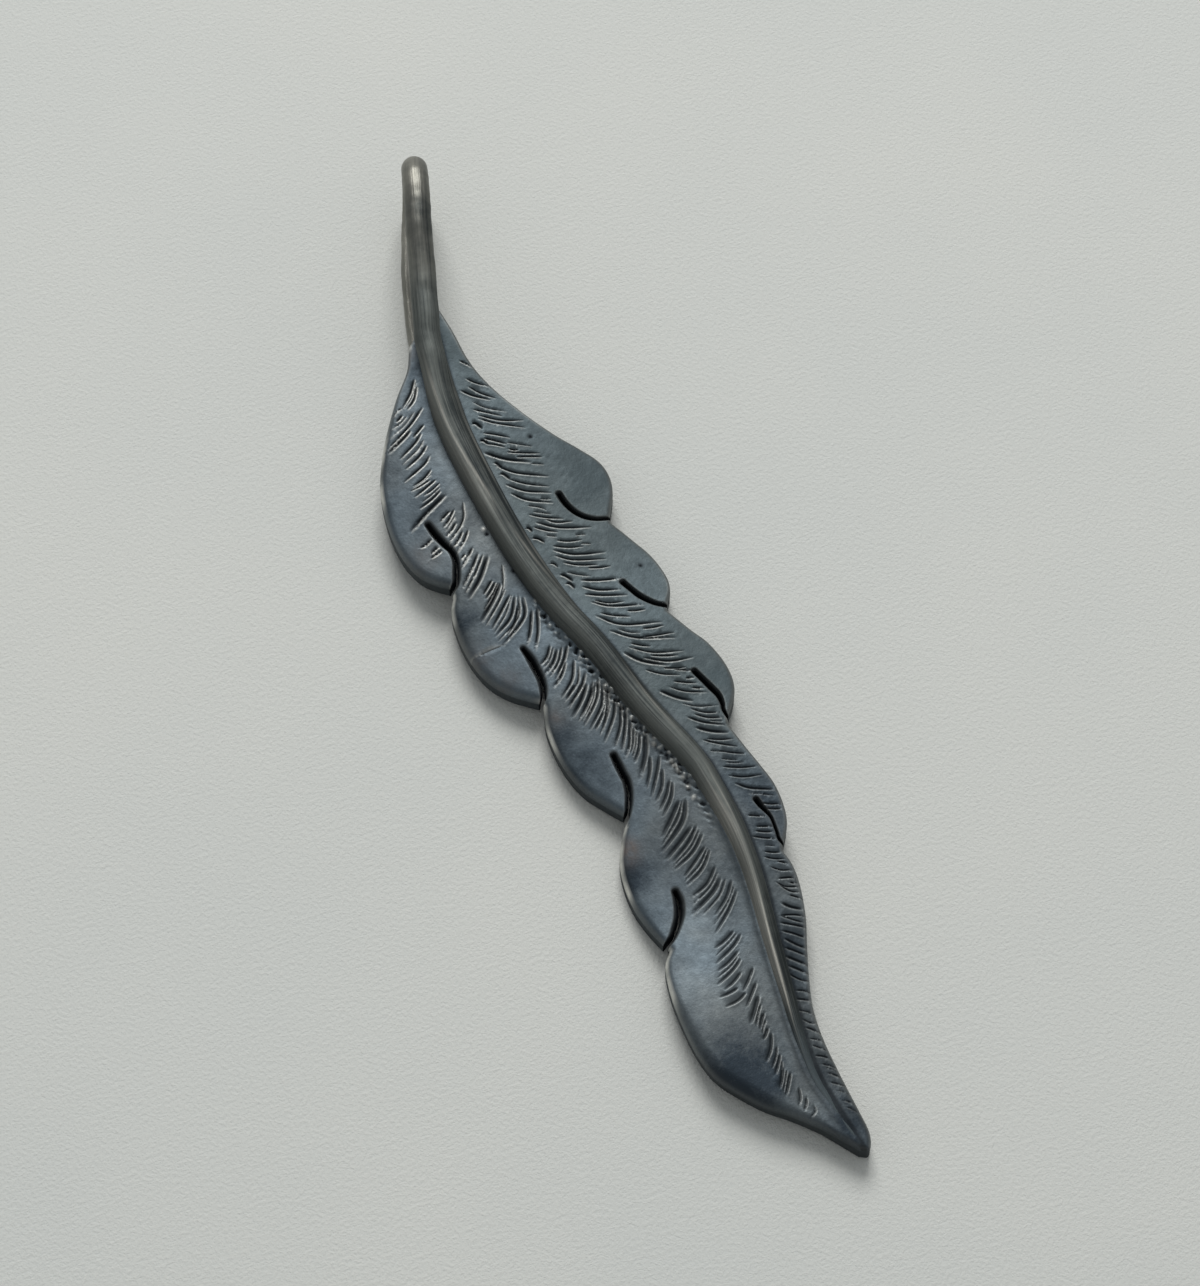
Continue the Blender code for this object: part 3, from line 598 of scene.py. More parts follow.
# %% An even scatter, thinned out
def scatter(low, high, pitch):
    """A grid of equal triangles that fills a box."""
    columns = np.arange(low[0], high[0], pitch)
    rows = np.arange(low[1], high[1], pitch * 0.866)
    x, y = np.meshgrid(columns, rows)
    x = x + (np.arange(len(rows)) % 2)[:, None] * pitch / 2
    return np.column_stack([x.ravel(), y.ravel()])


CELLS_IN_A_ROW = 100000


def cell_numbers(points, cell):
    """The number of the square cell of this size that each point stands in."""
    keys = np.floor(points / cell).astype(int) + 1000
    return keys[:, 0] * CELLS_IN_A_ROW + keys[:, 1]


def thin_out(points, cell, taken=None):
    """Keep one point to a cell of this size, and none whose cell, or its neighbour, is taken."""
    number = cell_numbers(points, cell)
    _, first = np.unique(number, return_index=True)
    first = np.sort(first)
    if taken is not None:
        around = [dx * CELLS_IN_A_ROW + dy for dx in (-1, 0, 1) for dy in (-1, 0, 1)]
        blocked = np.unique(np.add.outer(cell_numbers(taken, cell), around))
        first = first[~np.isin(number[first], blocked)]
    return points[first]


def is_inside(points, loop):
    """Whether each point is inside: a level ray to its right crosses the loop an odd number of times."""
    x1, y1 = loop.T
    x2, y2 = np.roll(loop, -1, axis=0).T
    odd = np.zeros(len(points), bool)
    for first in range(0, len(points), CHUNK):
        part = slice(first, first + CHUNK)
        x, y = points[part, :1], points[part, 1:]
        spans = (y1 <= y) != (y2 <= y)
        with np.errstate(divide="ignore", invalid="ignore"):
            crossing = x1 + (y - y1) * (x2 - x1) / (y2 - y1)
        odd[part] = (spans & (crossing > x)).sum(axis=1) % 2 == 1
    return odd


print("a one millimetre scatter in a box of ten by ten:", len(scatter([0.0, 0.0], [10.0, 10.0], 1.0)))

# %% [markdown]
# The scatter is close where the graver worked and wider elsewhere.

# %% The points of the face
BOX_LOW, BOX_HIGH = [-11.0, -0.4], [4.7, 60.0]
FINE, COARSE = ((0.115, 0.19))
worked = scatter([-9.8, 1.0], [4.2, 56.0], FINE)
offset = from_quill(worked[:, 0], worked[:, 1])
reach = np.interp(worked[:, 1], [2.0, 8.0, 14.0, 30.0, 40.0, 55.0], [1.6, 2.4, 3.8, 3.6, 4.6, 4.4])
worked = worked[(offset > -reach) & (offset < reach + 1.0)]
radius = rounding(edge[:, 0], edge[:, 1])
inside = thin_out(np.vstack(edge_rows(edge, [0.06, 0.25, 0.6, 1.05, 1.6], radius)), 0.035)
inside = np.vstack([inside, thin_out(stroke_rows(), 0.045, inside)])
inside = np.vstack([inside, thin_out(worked, 0.075, inside)])
inside = np.vstack([inside, thin_out(scatter(BOX_LOW, BOX_HIGH, COARSE), 0.13, inside)])
closed_edge = np.vstack([edge, edge[:1]])
inside = inside[is_inside(inside, edge)]
edge_gap, _ = distance_to(inside, closed_edge)
inside = inside[edge_gap > 0.006]
print("points on the face:", len(inside))

# %% [markdown]
# ## From points to a solid
# The face and the back are two triangulations of the same outline. Between them a few rows of points go
# down the sawn wall, so the solid is closed and every triangle looks outwards. The upper edge is filed
# round. A Bevel modifier could do that, but here the radius changes along the edge, so the drop is a
# formula of the distance in from it.


# %% Triangles and the filed edge
def triangles(points):
    """Triangles that join the edge and the points inside it, seen from above anticlockwise."""
    loop = list(range(len(edge)))
    verts, _, faces, *_ = delaunay_2d_cdt(points.tolist(), [], [loop], 1, 1e-6)
    verts, faces = np.array(verts), np.array(faces)
    a, b, c = verts[faces[:, 0]], verts[faces[:, 1]], verts[faces[:, 2]]
    area = (b[:, 0] - a[:, 0]) * (c[:, 1] - a[:, 1]) - (b[:, 1] - a[:, 1]) * (c[:, 0] - a[:, 0])
    faces[area < 0] = faces[area < 0, ::-1]
    assert np.allclose(verts[: len(edge)], edge, atol=1e-4)
    return verts, faces


def fillet(gap, radius):
    """How far a quarter-round edge of this radius lies below the face, at this distance in from the edge."""
    rest = np.clip(radius - gap, 0.0, None)
    return radius - np.sqrt(np.clip(radius**2 - rest**2, 0.0, None))


print("a filed edge of 0.2 mm drops, at the edge and half way in:", fillet(np.array([0.0, 0.1]), 0.2))

# %% [markdown]
# Solder holds the quill down. It has run out in a low slope left of the quill's foot, and it has set
# there in beads with pits between them, most of them half way up the feather. Right of the lower quill
# the sheet stands as high as the top of that slope. Solder and sheet are one skin there, so it isn't a
# mesh of its own: it raises the sheet's points, darkens its pits with patina and painted shade, and
# gives its beads painted highlights.

# %% Solder beside the quill
# Single beads and single pits, each about a fifth of a millimetre wide
BEADS = [
    (-1.35, 27.35), (-1.0, 25.65), (-0.95, 25.35), (-0.9, 24.95), (-0.8, 24.45), (-0.75, 23.8),
    (-0.7, 23.05), (-4.45, 38.3), (-5.6, 43.95), (-2.75, 31.55), (-1.55, 27.05),
]
PITS = [
    (-1.45, 27.85), (-1.15, 26.1), (-1.05, 25.5), (-0.95, 25.2), (-0.9, 24.75), (-0.8, 24.15),
    (-0.8, 23.6), (-0.6, 48.95), (2.35, 38.4), (2.9, 38.35), (-4.95, 40.65), (-5.55, 43.55),
]
SPECK = 0.11


def specks(marks, x, y):
    """How far inside any of the marks a point is: one at its middle, and nought away from all."""
    total = np.zeros(len(x))
    for speck_x, speck_y in marks:
        total = np.maximum(total, np.exp(-(((x - speck_x) ** 2 + (y - speck_y) ** 2) / SPECK**2)))
    return total


def bumps_by_quill(x, y):
    """Height of the solder, patina and painted shade in its pits, painted highlights on its beads."""
    out = -from_quill(x, y) - half_quill(y)
    along = smooth_step(20.0, 24.0, y) * smooth_step(39.0, 36.5, y)
    near = bell(out - 0.26, 0.28) * along
    lumps = wander(x, y, 0.40, 21)
    beads = np.clip(lumps, 0.0, None) ** 1.5 * 0.13 - np.clip(-lumps - 0.2, 0.0, None) * 0.26
    slope = np.exp(-np.clip(out, 0.0, None) / 0.30) * smooth_step(40.0, 34.0, y)
    slope = slope * np.interp(y, [1.0, 6.0, 14.0], [0.12, 0.22, 0.24])
    bead, pit = specks(BEADS, x, y), specks(PITS, x, y)
    height = near * beads + slope + 0.05 * bead - 0.06 * pit
    # Patina and painted shade in the pits; painted highlights on the beads and high lumps
    pit_patina_and_shade = np.maximum(near * smooth_step(0.2, 0.8, -lumps), pit)
    return height, pit_patina_and_shade, np.maximum(near * smooth_step(0.45, 1.1, lumps), 1.2 * bead)


print("beads and pits placed by hand:", len(BEADS), len(PITS))

# %% [markdown]
# Now everything adds up. The face's height at a point is that of the sheet, less the filed edge and the
# strokes, plus the burr, the solder and the faint waviness of hand work.

# %% The face
ON_THE_EDGE = 0.02
CUT_ROUNDING = 0.06
FAR = 9.0
faces_xy, faces_tri = triangles(np.vstack([edge, inside]))
x, y = faces_xy.T
closed_plain_edge = np.vstack([plain_edge, plain_edge[:1]])
outer_gap, edge_place = distance_to(faces_xy, closed_plain_edge)
cut_gap = np.full(len(x), FAR)
for line in cut_lines:
    near = (np.abs(faces_xy - line.mean(axis=0)) < 4.0).all(axis=1)
    cut_gap[near] = np.minimum(cut_gap[near], distance_to(faces_xy[near], line)[0])
for gap in (outer_gap, cut_gap):
    gap[: len(edge)][gap[: len(edge)] < ON_THE_EDGE] = 0.0
cut, burr, dark, lit_wall_highlight = engrave(x, y)
solder, solder_dark, solder_highlight = bumps_by_quill(x, y)
rounded = np.maximum(fillet(outer_gap, rounding(x, y)), fillet(cut_gap, CUT_ROUNDING))
hand_worked = 0.018 * wander(x, y, 2.6, 5) + 0.005 * wander(x, y, 0.7, 6)
hand_worked = hand_worked * smooth_step(0.0, 0.6, outer_gap)
face_z = back_of_sheet(x, y) + SHEET - rounded - cut + burr + solder + hand_worked
print("face triangles:", len(faces_tri))

# %% [markdown]
# The back carries no work. It is the plain domed sheet, in much larger triangles.

# %% The back
back_points = thin_out(scatter(BOX_LOW, BOX_HIGH, 0.55), 0.13, edge)
back_points = back_points[is_inside(back_points, edge)]
back_xy, back_tri = triangles(np.vstack([edge, back_points]))
back_z = back_of_sheet(*back_xy.T)
print("back triangles:", len(back_tri))

# %% [markdown]
# A saw blade leaves a rough wall, and a cut this narrow is choked with film half way down. So the wall's
# rows wander a little, and within a cut they close in towards its middle, except at its mouth.

# %% The sawn wall
WALL_ROWS = 5
rim = len(edge)
half_gap = np.zeros(rim)
from_mouth = np.full(rim, FAR)
for cut, line in zip(CUTS, cut_lines):
    in_cut = distance_to(edge, line)[0] < 0.03
    half_gap[in_cut] = distance_to(edge[in_cut], smooth_line(cut, CUT_STEPS)[:, :2])[0]
    mouth = (line[0] + line[-1]) / 2.0
    from_mouth = np.minimum(from_mouth, np.linalg.norm(edge - mouth, axis=1))
edge_top, edge_under = face_z[:rim], back_of_sheet(*edge.T)
outwards = normals(closed_edge)[:rim]
wall_xy, wall_z = [], []
for share in np.linspace(0.0, 1.0, WALL_ROWS + 2)[1:-1]:
    rough = 0.012 * wander(edge[:, 0] * 3.0, edge[:, 1] * 3.0 + share * 4.0, 0.5, 9)
    choked = 0.8 * half_gap * np.sin(np.pi * share) ** 0.7 * smooth_step(0.25, 0.8, from_mouth)
    wall_xy.append(edge + outwards * (choked - rough)[:, None])
    wall_z.append(edge_top + share * (edge_under - edge_top))
row_starts = [0] + [len(faces_xy) + row * rim for row in range(WALL_ROWS + 1)]
here = np.arange(rim)
after = (here + 1) % rim
walls = []
for upper, lower in zip(row_starts, row_starts[1:]):
    walls.append(np.column_stack([upper + after, upper + here, lower + here]))
    walls.append(np.column_stack([upper + after, lower + here, lower + after]))
turns_right = (edge[:, 0] * (np.roll(edge[:, 1], -1) - np.roll(edge[:, 1], 1))).sum() < 0
wall_tri = np.vstack(walls)[:, ::-1] if turns_right else np.vstack(walls)
vane_xy = np.vstack([faces_xy, *wall_xy, back_xy])
vane_z = np.concatenate([face_z, *wall_z, back_z])
vane_tri = np.vstack([faces_tri, wall_tri, back_tri[:, ::-1] + row_starts[-1]])
print("vane triangles:", len(vane_tri), "points:", len(vane_xy))

# %% [markdown]
# A mesh is made in one go from its points and its polygons. The points are moved and scaled first, so the
# object itself stays at the origin, unturned and unscaled. A mesh can also store a number to a point
# under any name, and the finishes below read numbers of that kind.


# %% Into Blender
def to_world(points):
    """From millimetres in the feather's plan to metres about the middle of the pendant's box."""
    moved = np.array(points, dtype=float)
    moved[:, :2] -= BOX_MIDDLE
    return moved * MM


def new_mesh(name, points, polygons, material):
    """A smooth-shaded mesh object in the scene, from points in millimetres and a list of polygons."""
    mesh = bpy.data.meshes.new(name)
    mesh.from_pydata(to_world(points).tolist(), [], polygons)
    mesh.shade_smooth()
    mesh.materials.append(material)
    item = bpy.data.objects.new(name, mesh)
    bpy.context.scene.collection.objects.link(item)
    return item


def paint(item, **layers):
    """Store one number to a point, under each of these names."""
    for name, values in layers.items():
        layer = item.data.attributes.new(name, "FLOAT", "POINT")
        layer.data.foreach_set("value", np.clip(values, 0.0, 1.0).astype(np.float32))


# %% [markdown]
# ## Finishes
# Silver is dipped in liver of sulphur, which turns it blue-black, and then rubbed back. So there is one
# metal with a film over it: thick in the grooves and hollows, thin on the flats, and gone on the edges
# and ridges. Each mesh stores how far along that road every point is, and the shader only mixes colours
# by it. The same numbers also carry painted shade, on sides that face away from the light and in creases
# and cuts, and painted highlights on edges, rims, beads and crests. Long sums are hard to read as a web
# of nodes, so a small class lets them be written as arithmetic.


# %% Shader arithmetic
class Node:
    """A socket of a shader node, with arithmetic on it."""

    def __init__(self, tree, socket):
        self.tree = tree
        self.socket = socket

    def make(self, kind, inputs=(), output=0, **settings):
        """Add a node of this kind, set its inputs to numbers, colours or sockets, and return one output."""
        node = self.tree.nodes.new(kind)
        for name, value in settings.items():
            setattr(node, name, value)
        for key, value in dict(inputs).items():
            if isinstance(value, Node):
                self.tree.links.new(value.socket, node.inputs[key])
            else:
                node.inputs[key].default_value = value
        return Node(self.tree, node.outputs[output])

    def math(self, operation, other=0.0):
        return self.make("ShaderNodeMath", {0: self, 1: other}, operation=operation)

    def __add__(self, other):
        return self.math("ADD", other)

    def __radd__(self, other):
        return self.math("ADD", other)

    def __mul__(self, other):
        return self.math("MULTIPLY", other)

    def __rmul__(self, other):
        return self.math("MULTIPLY", other)

    def __sub__(self, other):
        return self.math("SUBTRACT", other)

    def __rsub__(self, other):
        return (self * -1.0) + other

    def clamp(self):
        return self.make("ShaderNodeClamp", {0: self})

    def ramp(self, low, high):
        """Nought below low and one above high, in an S."""
        kind = {"interpolation_type": "SMOOTHSTEP"}
        return self.make("ShaderNodeMapRange", {"Value": self, "From Min": low, "From Max": high}, **kind)

    def colour(self, start, end):
        """A colour mixed from start to end by this number."""
        inputs = {0: self, 6: start, 7: end}
        return self.make("ShaderNodeMix", inputs, output=2, data_type="RGBA", clamp_factor=True)


# %% [markdown]
# Both finishes are put together from the same few things: noise, a number stored on the mesh, and a bump.


# %% Helpers for the finishes
def new_material(name):
    """An empty Principled material, its shader node, and a handle to build on."""
    material = bpy.data.materials.new(name)
    material.use_nodes = True
    shader = material.node_tree.nodes["Principled BSDF"]
    return material, shader, Node(material.node_tree, None)


def wire_up(shader, **sockets):
    """Link or set sockets of the shader, by name with underscores for spaces."""
    for name, value in sockets.items():
        socket = shader.inputs[name.replace("_", " ")]
        if isinstance(value, Node):
            shader.id_data.links.new(value.socket, socket)
        else:
            socket.default_value = value


def noise(build, where, scale, detail=4.0, roughness=0.55):
    """Noise from nought to one, with this many features to the metre."""
    inputs = {"Vector": where, "Scale": scale, "Detail": detail, "Roughness": roughness}
    return build.make("ShaderNodeTexNoise", inputs)


def layer(build, name):
    """The number stored on the mesh under this name."""
    return build.make("ShaderNodeAttribute", output=2, attribute_name=name)


def bump(build, height, distance, strength=1.0, normal=None):
    """A bump from a height of nought to one, this many metres high."""
    inputs = {"Height": height, "Distance": distance, "Strength": strength}
    if normal:
        inputs["Normal"] = normal
    return build.make("ShaderNodeBump", inputs)


# %% [markdown]
# On the sheet the colour is laid down in the order of these layers: the film, thin or thick, with painted
# shade in it, then a brown bloom, a greener grey right of the quill, the dark walls, the black of the
# grooves with painted shade in creases and cuts, and last the bare metal that the cloth laid open, with
# painted highlights. Noise in three sizes breaks up their borders.


# %% The oxidised sheet
def oxidised_sheet():
    """Blue-grey satin metal: darkest in grooves and painted shade, pale where worn and in painted highlights.
    """
    material, shader, build = new_material("oxidised_sheet")
    place = build.make("ShaderNodeTexCoord", output=3)
    cloud = noise(build, place, 230.0, 5.0, 0.6)
    fine = noise(build, place, 1500.0, 5.0, 0.7)
    grain = noise(build, place, 7000.0, 3.0, 0.65)
    mottle = (cloud - 0.5) * 1.05 + (fine - 0.5) * 0.6 + (grain - 0.5) * 0.5
    # Patina film with painted shade: darker where the mesh stores more of both
    film_and_shade = (layer(build, "dark") + mottle).clamp()
    hue = noise(build, place, 130.0, 3.0, 0.5).ramp(0.38, 0.66)
    thin = hue.colour((0.126, 0.158, 0.180, 1.0), (0.134, 0.150, 0.153, 1.0))
    tint = film_and_shade.colour(thin, (0.024, 0.033, 0.042, 1.0))
    tint = (layer(build, "warm") * (fine * 2.4 - 0.4)).clamp().colour(tint, (0.130, 0.110, 0.100, 1.0))
    tint = (layer(build, "green") * 0.6).colour(tint, (0.066, 0.084, 0.087, 1.0))
    tint = (layer(build, "wall") * 0.8).colour(tint, (0.046, 0.052, 0.054, 1.0))
    # Near-black: patina with painted shade in the grooves, creases and cuts
    tint = (layer(build, "groove") * 1.15).clamp().colour(tint, (0.012, 0.015, 0.018, 1.0))
    # Bare metal where rubbed, and painted highlights on edges, rims, beads and crests
    rubbed = (layer(build, "rub") * (0.35 + fine * 1.1)).clamp()
    tint = rubbed.colour(tint, (0.62, 0.62, 0.58, 1.0))
    rough = 0.46 + fine * 0.16 + layer(build, "groove") * 0.25 - rubbed * 0.10 + layer(build, "wall") * 0.15
    relief = bump(build, grain, 0.000015, 0.6, bump(build, fine, 0.00004, 0.6))
    wire_up(shader, Base_Color=tint, Roughness=rough, Metallic=0.93, Normal=relief)
    return material


# %% [markdown]
# The film isn't even: it is darkest in hollows that the rubbing missed, and browner at the shoulders of
# the left lobes. The dark and pale patches also carry painted reflections, of dark and of bright
# surroundings, and the rubbed spots on the edges carry painted glints. Noise would put such patches
# anywhere, so they are listed one by one. Each is a soft round spot, (x, y, size, strength).

# %% Patches of the film
# Darker film with painted reflections of dark surroundings
DARK_FILM_AND_REFLECTION_SPOTS = [
    (-5.8, 27.4, 1.5, 0.55), (-6.2, 29.6, 1.0, 0.55), (-5.9, 20.1, 1.15, 0.70), (-4.4, 7.4, 2.0, 0.6),
    (-3.3, 5.0, 1.1, 0.5), (-9.3, 50.0, 0.9, 0.15), (-8.9, 38.9, 1.0, 0.5), (1.6, 44.8, 1.2, 0.45),
    (3.7, 29.6, 0.7, 0.55), (-5.6, 5.9, 1.0, 0.6), (1.3, 12.5, 1.2, 0.5), (0.2, 5.0, 1.5, 0.15),
    (-0.4, 1.2, 1.6, 0.25), (-2.3, 56.8, 2.2, 0.35), (-5.6, 55.6, 1.3, 0.3), (3.2, 21.6, 1.5, 0.25),
    (0.7, 47.2, 1.8, 0.28), (2.2, 38.8, 1.4, 0.12), (-8.6, 46.2, 0.9, 0.12),
]
WARM_SPOTS = [
    (-5.6, 21.6, 0.8, 0.95), (-6.3, 30.9, 0.6, 0.4), (-9.2, 36.2, 0.9, 0.35), (-7.9, 34.3, 0.9, 0.3),
    (-9.8, 43.6, 1.0, 0.3), (-5.4, 57.0, 0.7, 0.25),
]
# Thinner film with painted reflections of bright surroundings
PALE_FILM_AND_REFLECTION_SPOTS = [
    (-4.6, 12.5, 1.7, -0.25), (-3.8, 15.3, 1.0, -0.3), (-5.4, 48.0, 1.6, -0.35), (-6.0, 43.0, 1.2, -0.3),
    (-4.6, 36.0, 0.9, -0.25), (-2.6, 50.5, 1.0, -0.15), (-5.6, 28.9, 0.6, -0.3), (-0.2, 22.0, 1.4, -0.15),
    (-9.4, 44.3, 1.1, -0.15),
]
# Rubbed bare edges with a painted glint
RUBBED_AND_GLINT_SPOTS = [
    (-10.3, 48.6, 0.7, 0.8), (-9.4, 51.4, 1.0, 0.6), (-8.95, 40.4, 0.45, 1.0), (-9.35, 39.4, 0.6, 0.4),
    (-6.65, 31.9, 0.5, 0.6), (-6.9, 29.8, 0.9, 0.6), (-5.2, 23.0, 0.4, 0.9), (-6.2, 21.4, 0.9, 1.0),
    (-6.5, 19.4, 0.7, 0.7), (-5.9, 14.4, 0.6, 1.0), (-6.5, 12.6, 0.9, 0.7), (-5.25, 57.3, 0.20, 0.5),
]


def spots(table, x, y):
    """The sum of soft round spots: each falls off with the square of the distance over its size."""
    total = np.zeros(len(x))
    for spot_x, spot_y, size, strength in table:
        total += strength * np.exp(-(((x - spot_x) ** 2 + (y - spot_y) ** 2) / size**2))
    return total


# %% [markdown]
# The top of the edge is rubbed bare and carries a painted glint, but less where the edge faces down the
# picture, away from the light: there painted shade darkens it. The right half of the feather is painted
# darker than the left, as shade. The film stays in the crease beside the quill, with painted shade added,
# and thins again on the narrow strip right of the quill near the tip.

# %% The feather's film
DOWN_THE_PICTURE = np.array([-0.377, -0.926])


def on_face(values):
    """These numbers for the points of the face, and nought for those of the wall and the back."""
    return np.concatenate([values, np.zeros(len(vane_xy) - len(faces_xy))])


edge_run = np.concatenate([[0.0], np.cumsum(np.linalg.norm(np.diff(closed_plain_edge, axis=0), axis=1))])
faces_down = np.interp(edge_place, edge_run, normals(closed_plain_edge) @ DOWN_THE_PICTURE)
# Painted shade on the edge where it faces down the picture, away from the light
painted_shade_low_side = on_face(smooth_step(0.2, 0.8, faces_down) * bell(outer_gap, 0.20))
# Painted glint along the top of the edge, and at the mouths of the cuts
edge_glint = on_face(bell(outer_gap - 0.06, 0.09))
cut_glint = on_face(bell(cut_gap, 0.07))
is_face = on_face(np.ones(len(faces_xy)))
# Painted shade: the walls inside the narrow cuts go black
cut_wall_shade = np.zeros(len(vane_xy))
cut_wall_shade[len(faces_xy) : len(faces_xy) + WALL_ROWS * rim] = np.tile(half_gap > 0.0, WALL_ROWS)
x, y = vane_xy.T
offset = from_quill(x, y)
# Patina with painted shade in the crease beside the quill
crease_patina_and_shade = bell(np.clip(np.abs(offset) - half_quill(y), 0.0, None), 0.10) * is_face
beside_patina_and_shade = crease_patina_and_shade * (offset < 0) * smooth_step(46.0, 38.0, y)
crease_patina_and_shade = crease_patina_and_shade * np.where(offset < 0, 0.15 * smooth_step(33.0, 39.0, y), 0.9)
right_strip = smooth_step(0.6, 1.6, offset) * smooth_step(19.0, 14.0, y)
# How strong the painted highlight on the strokes' lit walls is, by place
lit_wall_highlight_strength = 0.24 + 0.42 * smooth_step(22.0, 36.0, y) + 0.34 * smooth_step(37.0, 43.0, y) * (offset < 0)
# Painted glint on the edges and cut mouths, strongest at the rubbed spots
rub = 2.0 * spots(RUBBED_AND_GLINT_SPOTS, x, y) * edge_glint + 0.22 * edge_glint + 0.12 * cut_glint
# Painted shade: darker on the right half and where the edge faces away from the light
film_and_shade = 0.37 + 0.28 * smooth_step(-1.0, 2.0, offset) - 0.45 * right_strip + 0.2 * beside_patina_and_shade + 0.40 * painted_shade_low_side
film_and_shade = film_and_shade + spots(DARK_FILM_AND_REFLECTION_SPOTS + PALE_FILM_AND_REFLECTION_SPOTS, x, y)
print("film over the feather, mean:", film_and_shade.mean().round(3))

# %% [markdown]
# The feather's last cell stores the film, with its painted shade and highlights, on its mesh. It also
# says which body the piece rides on and which solid it stands for.

# %% The feather, handed over
vane = new_mesh("vane_look", np.column_stack([vane_xy, vane_z]), vane_tri.tolist(), oxidised_sheet())
# Stores patina with painted shade, and bare metal with painted highlights, on the feather
paint(
    vane,
    groove=np.maximum(on_face(np.maximum(dark, solder_dark * 1.3)), crease_patina_and_shade * 0.7) + cut_wall_shade,
    rub=rub * (1.0 - 0.6 * painted_shade_low_side) + lit_wall_highlight_strength * on_face(lit_wall_highlight) + 0.6 * on_face(solder_highlight),
    dark=film_and_shade,
    warm=spots(WARM_SPOTS, x, y),
    green=smooth_step(0.3, 1.4, offset) * smooth_step(20.0, 30.0, y) * is_face,
    wall=1.0 - is_face,
)
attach(vane, "root")
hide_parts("vane")
print("vane triangles in the scene:", len(vane.data.polygons))

# %% [markdown]
# ## The quill
# The quill is one length of round wire. Over the sheet it has been hammered and filed to a ridge, a third
# of the way across from its left side, with a low step along its right side. A curve with a bevel could
# make a plain tube, but not this. So a ring of points is carried along the wire's middle, and its outline
# changes from one section to the next.

# %% The wire's path
WIRE = 0.82
PATH_STEPS = 16
LOOP_FRONT_LEG = [
    (-3.72, 58.4, 4.42), (-3.28, 59.9, 4.50), (-2.80, 61.4, 4.79), (-2.36, 62.9, 5.23),
    (-1.93, 64.3, 5.60), (-1.50, 65.6, 5.76),
]
LOOP_RADIUS = 2.54
LOOP_CENTRE_Y = 66.7
LOOP_FRONT_X, LOOP_END_X, LOOP_BACK_X = -1.15, -0.42, -1.55
LOOP_MARKS = 9
# Which way the loop's end faces in plan
LOOP_FACES = (0.36, 0.93)
LOOP_BACK_LEG = [
    (-1.95, 65.6), (-2.60, 63.9), (-3.17, 62.0), (-3.75, 60.0), (-4.18, 58.0), (-4.48, 56.0), (-4.66, 54.2),
]
WORN_FLAT = 0.1
BACK_LEG_Z = WIRE - WORN_FLAT


def wire_path():
    """The middle of the wire from the tip to its other end: x, y, z, radius, and which way is outwards."""
    marks = []
    for mark_y, mark_x, half_width in QUILL_MARKS:
        z = back_of_sheet(mark_x, mark_y) + SHEET + 0.12 + half_width * 0.93
        marks.append((mark_x, mark_y, z, half_width, 0.0, 0.0, 1.0))
    marks += [(x, y, z, WIRE, 0.0, 0.0, 1.0) for x, y, z in LOOP_FRONT_LEG]
    for turn in np.linspace(np.pi / 2, -np.pi / 2, LOOP_MARKS):
        ahead, above = np.cos(turn), np.sin(turn)
        leg_x = LOOP_FRONT_X if turn > 0 else LOOP_BACK_X
        x = leg_x + (LOOP_END_X - leg_x) * ahead
        y = LOOP_CENTRE_Y + LOOP_RADIUS * ahead
        z = BACK_LEG_Z + LOOP_RADIUS * (1.0 + above)
        marks.append((x, y, z, WIRE, LOOP_FACES[0] * ahead, LOOP_FACES[1] * ahead, above))
    marks += [(x, y, BACK_LEG_Z, WIRE, 0.0, 0.0, -1.0) for x, y in LOOP_BACK_LEG]
    return smooth_line(marks, PATH_STEPS)


path = wire_path()
middle, radius, outwards = path[:, :3].copy(), path[:, 3], path[:, 4:]
along = np.gradient(middle, axis=0)
along /= np.linalg.norm(along, axis=1)[:, None]
side = np.cross(along, outwards)
side /= np.linalg.norm(side, axis=1)[:, None]
up = np.cross(side, along)
travel = np.concatenate([[0.0], np.cumsum(np.linalg.norm(np.diff(middle, axis=0), axis=1))])
print("the wire's length in millimetres:", travel[-1].round(1))

# %% [markdown]
# Three sections lie on the sheet: stepped at the top, rounded in the middle of the feather, and ridged
# towards the tip. Each is an arch of marks, closed by a straight run along the underside. The free wire's
# section is a circle.

# %% The wire's sections
# Left to right, in half widths, with the height above the sheet
STEPPED = [
    (-1.04, -0.12), (-1.04, 0.35), (-0.97, 0.80), (-0.84, 1.16), (-0.66, 1.41), (-0.46, 1.50), (-0.18, 1.45),
    (0.14, 1.36), (0.42, 1.24), (0.64, 1.04), (0.80, 0.82), (1.02, 0.62), (1.08, -0.12),
]
RIDGED = [
    (-1.14, -0.12), (-1.02, 0.20), (-0.86, 0.50), (-0.68, 0.84), (-0.48, 1.14), (-0.28, 1.34), (-0.08, 1.38),
    (0.14, 1.26), (0.36, 1.02), (0.58, 0.72), (0.80, 0.40), (0.98, 0.14), (1.10, -0.12),
]
ROUNDED = [
    (-1.08, -0.12), (-1.03, 0.25), (-0.92, 0.62), (-0.76, 0.98), (-0.54, 1.24), (-0.28, 1.36), (0.0, 1.38),
    (0.28, 1.33), (0.54, 1.18), (0.76, 0.90), (0.92, 0.56), (1.02, 0.22), (1.08, -0.12),
]
ARCH_STEPS = 3
ARCH_LAST = 12 * ARCH_STEPS
UNDER_POINTS = 7


def ring_of(section):
    """A closed ring: the section's arch, and a straight run back along its underside."""
    arch = smooth_line(section, ARCH_STEPS)
    share = np.linspace(0.0, 1.0, UNDER_POINTS + 2)[1:-1, None]
    return np.vstack([arch, arch[-1] + share * (arch[0] - arch[-1])])


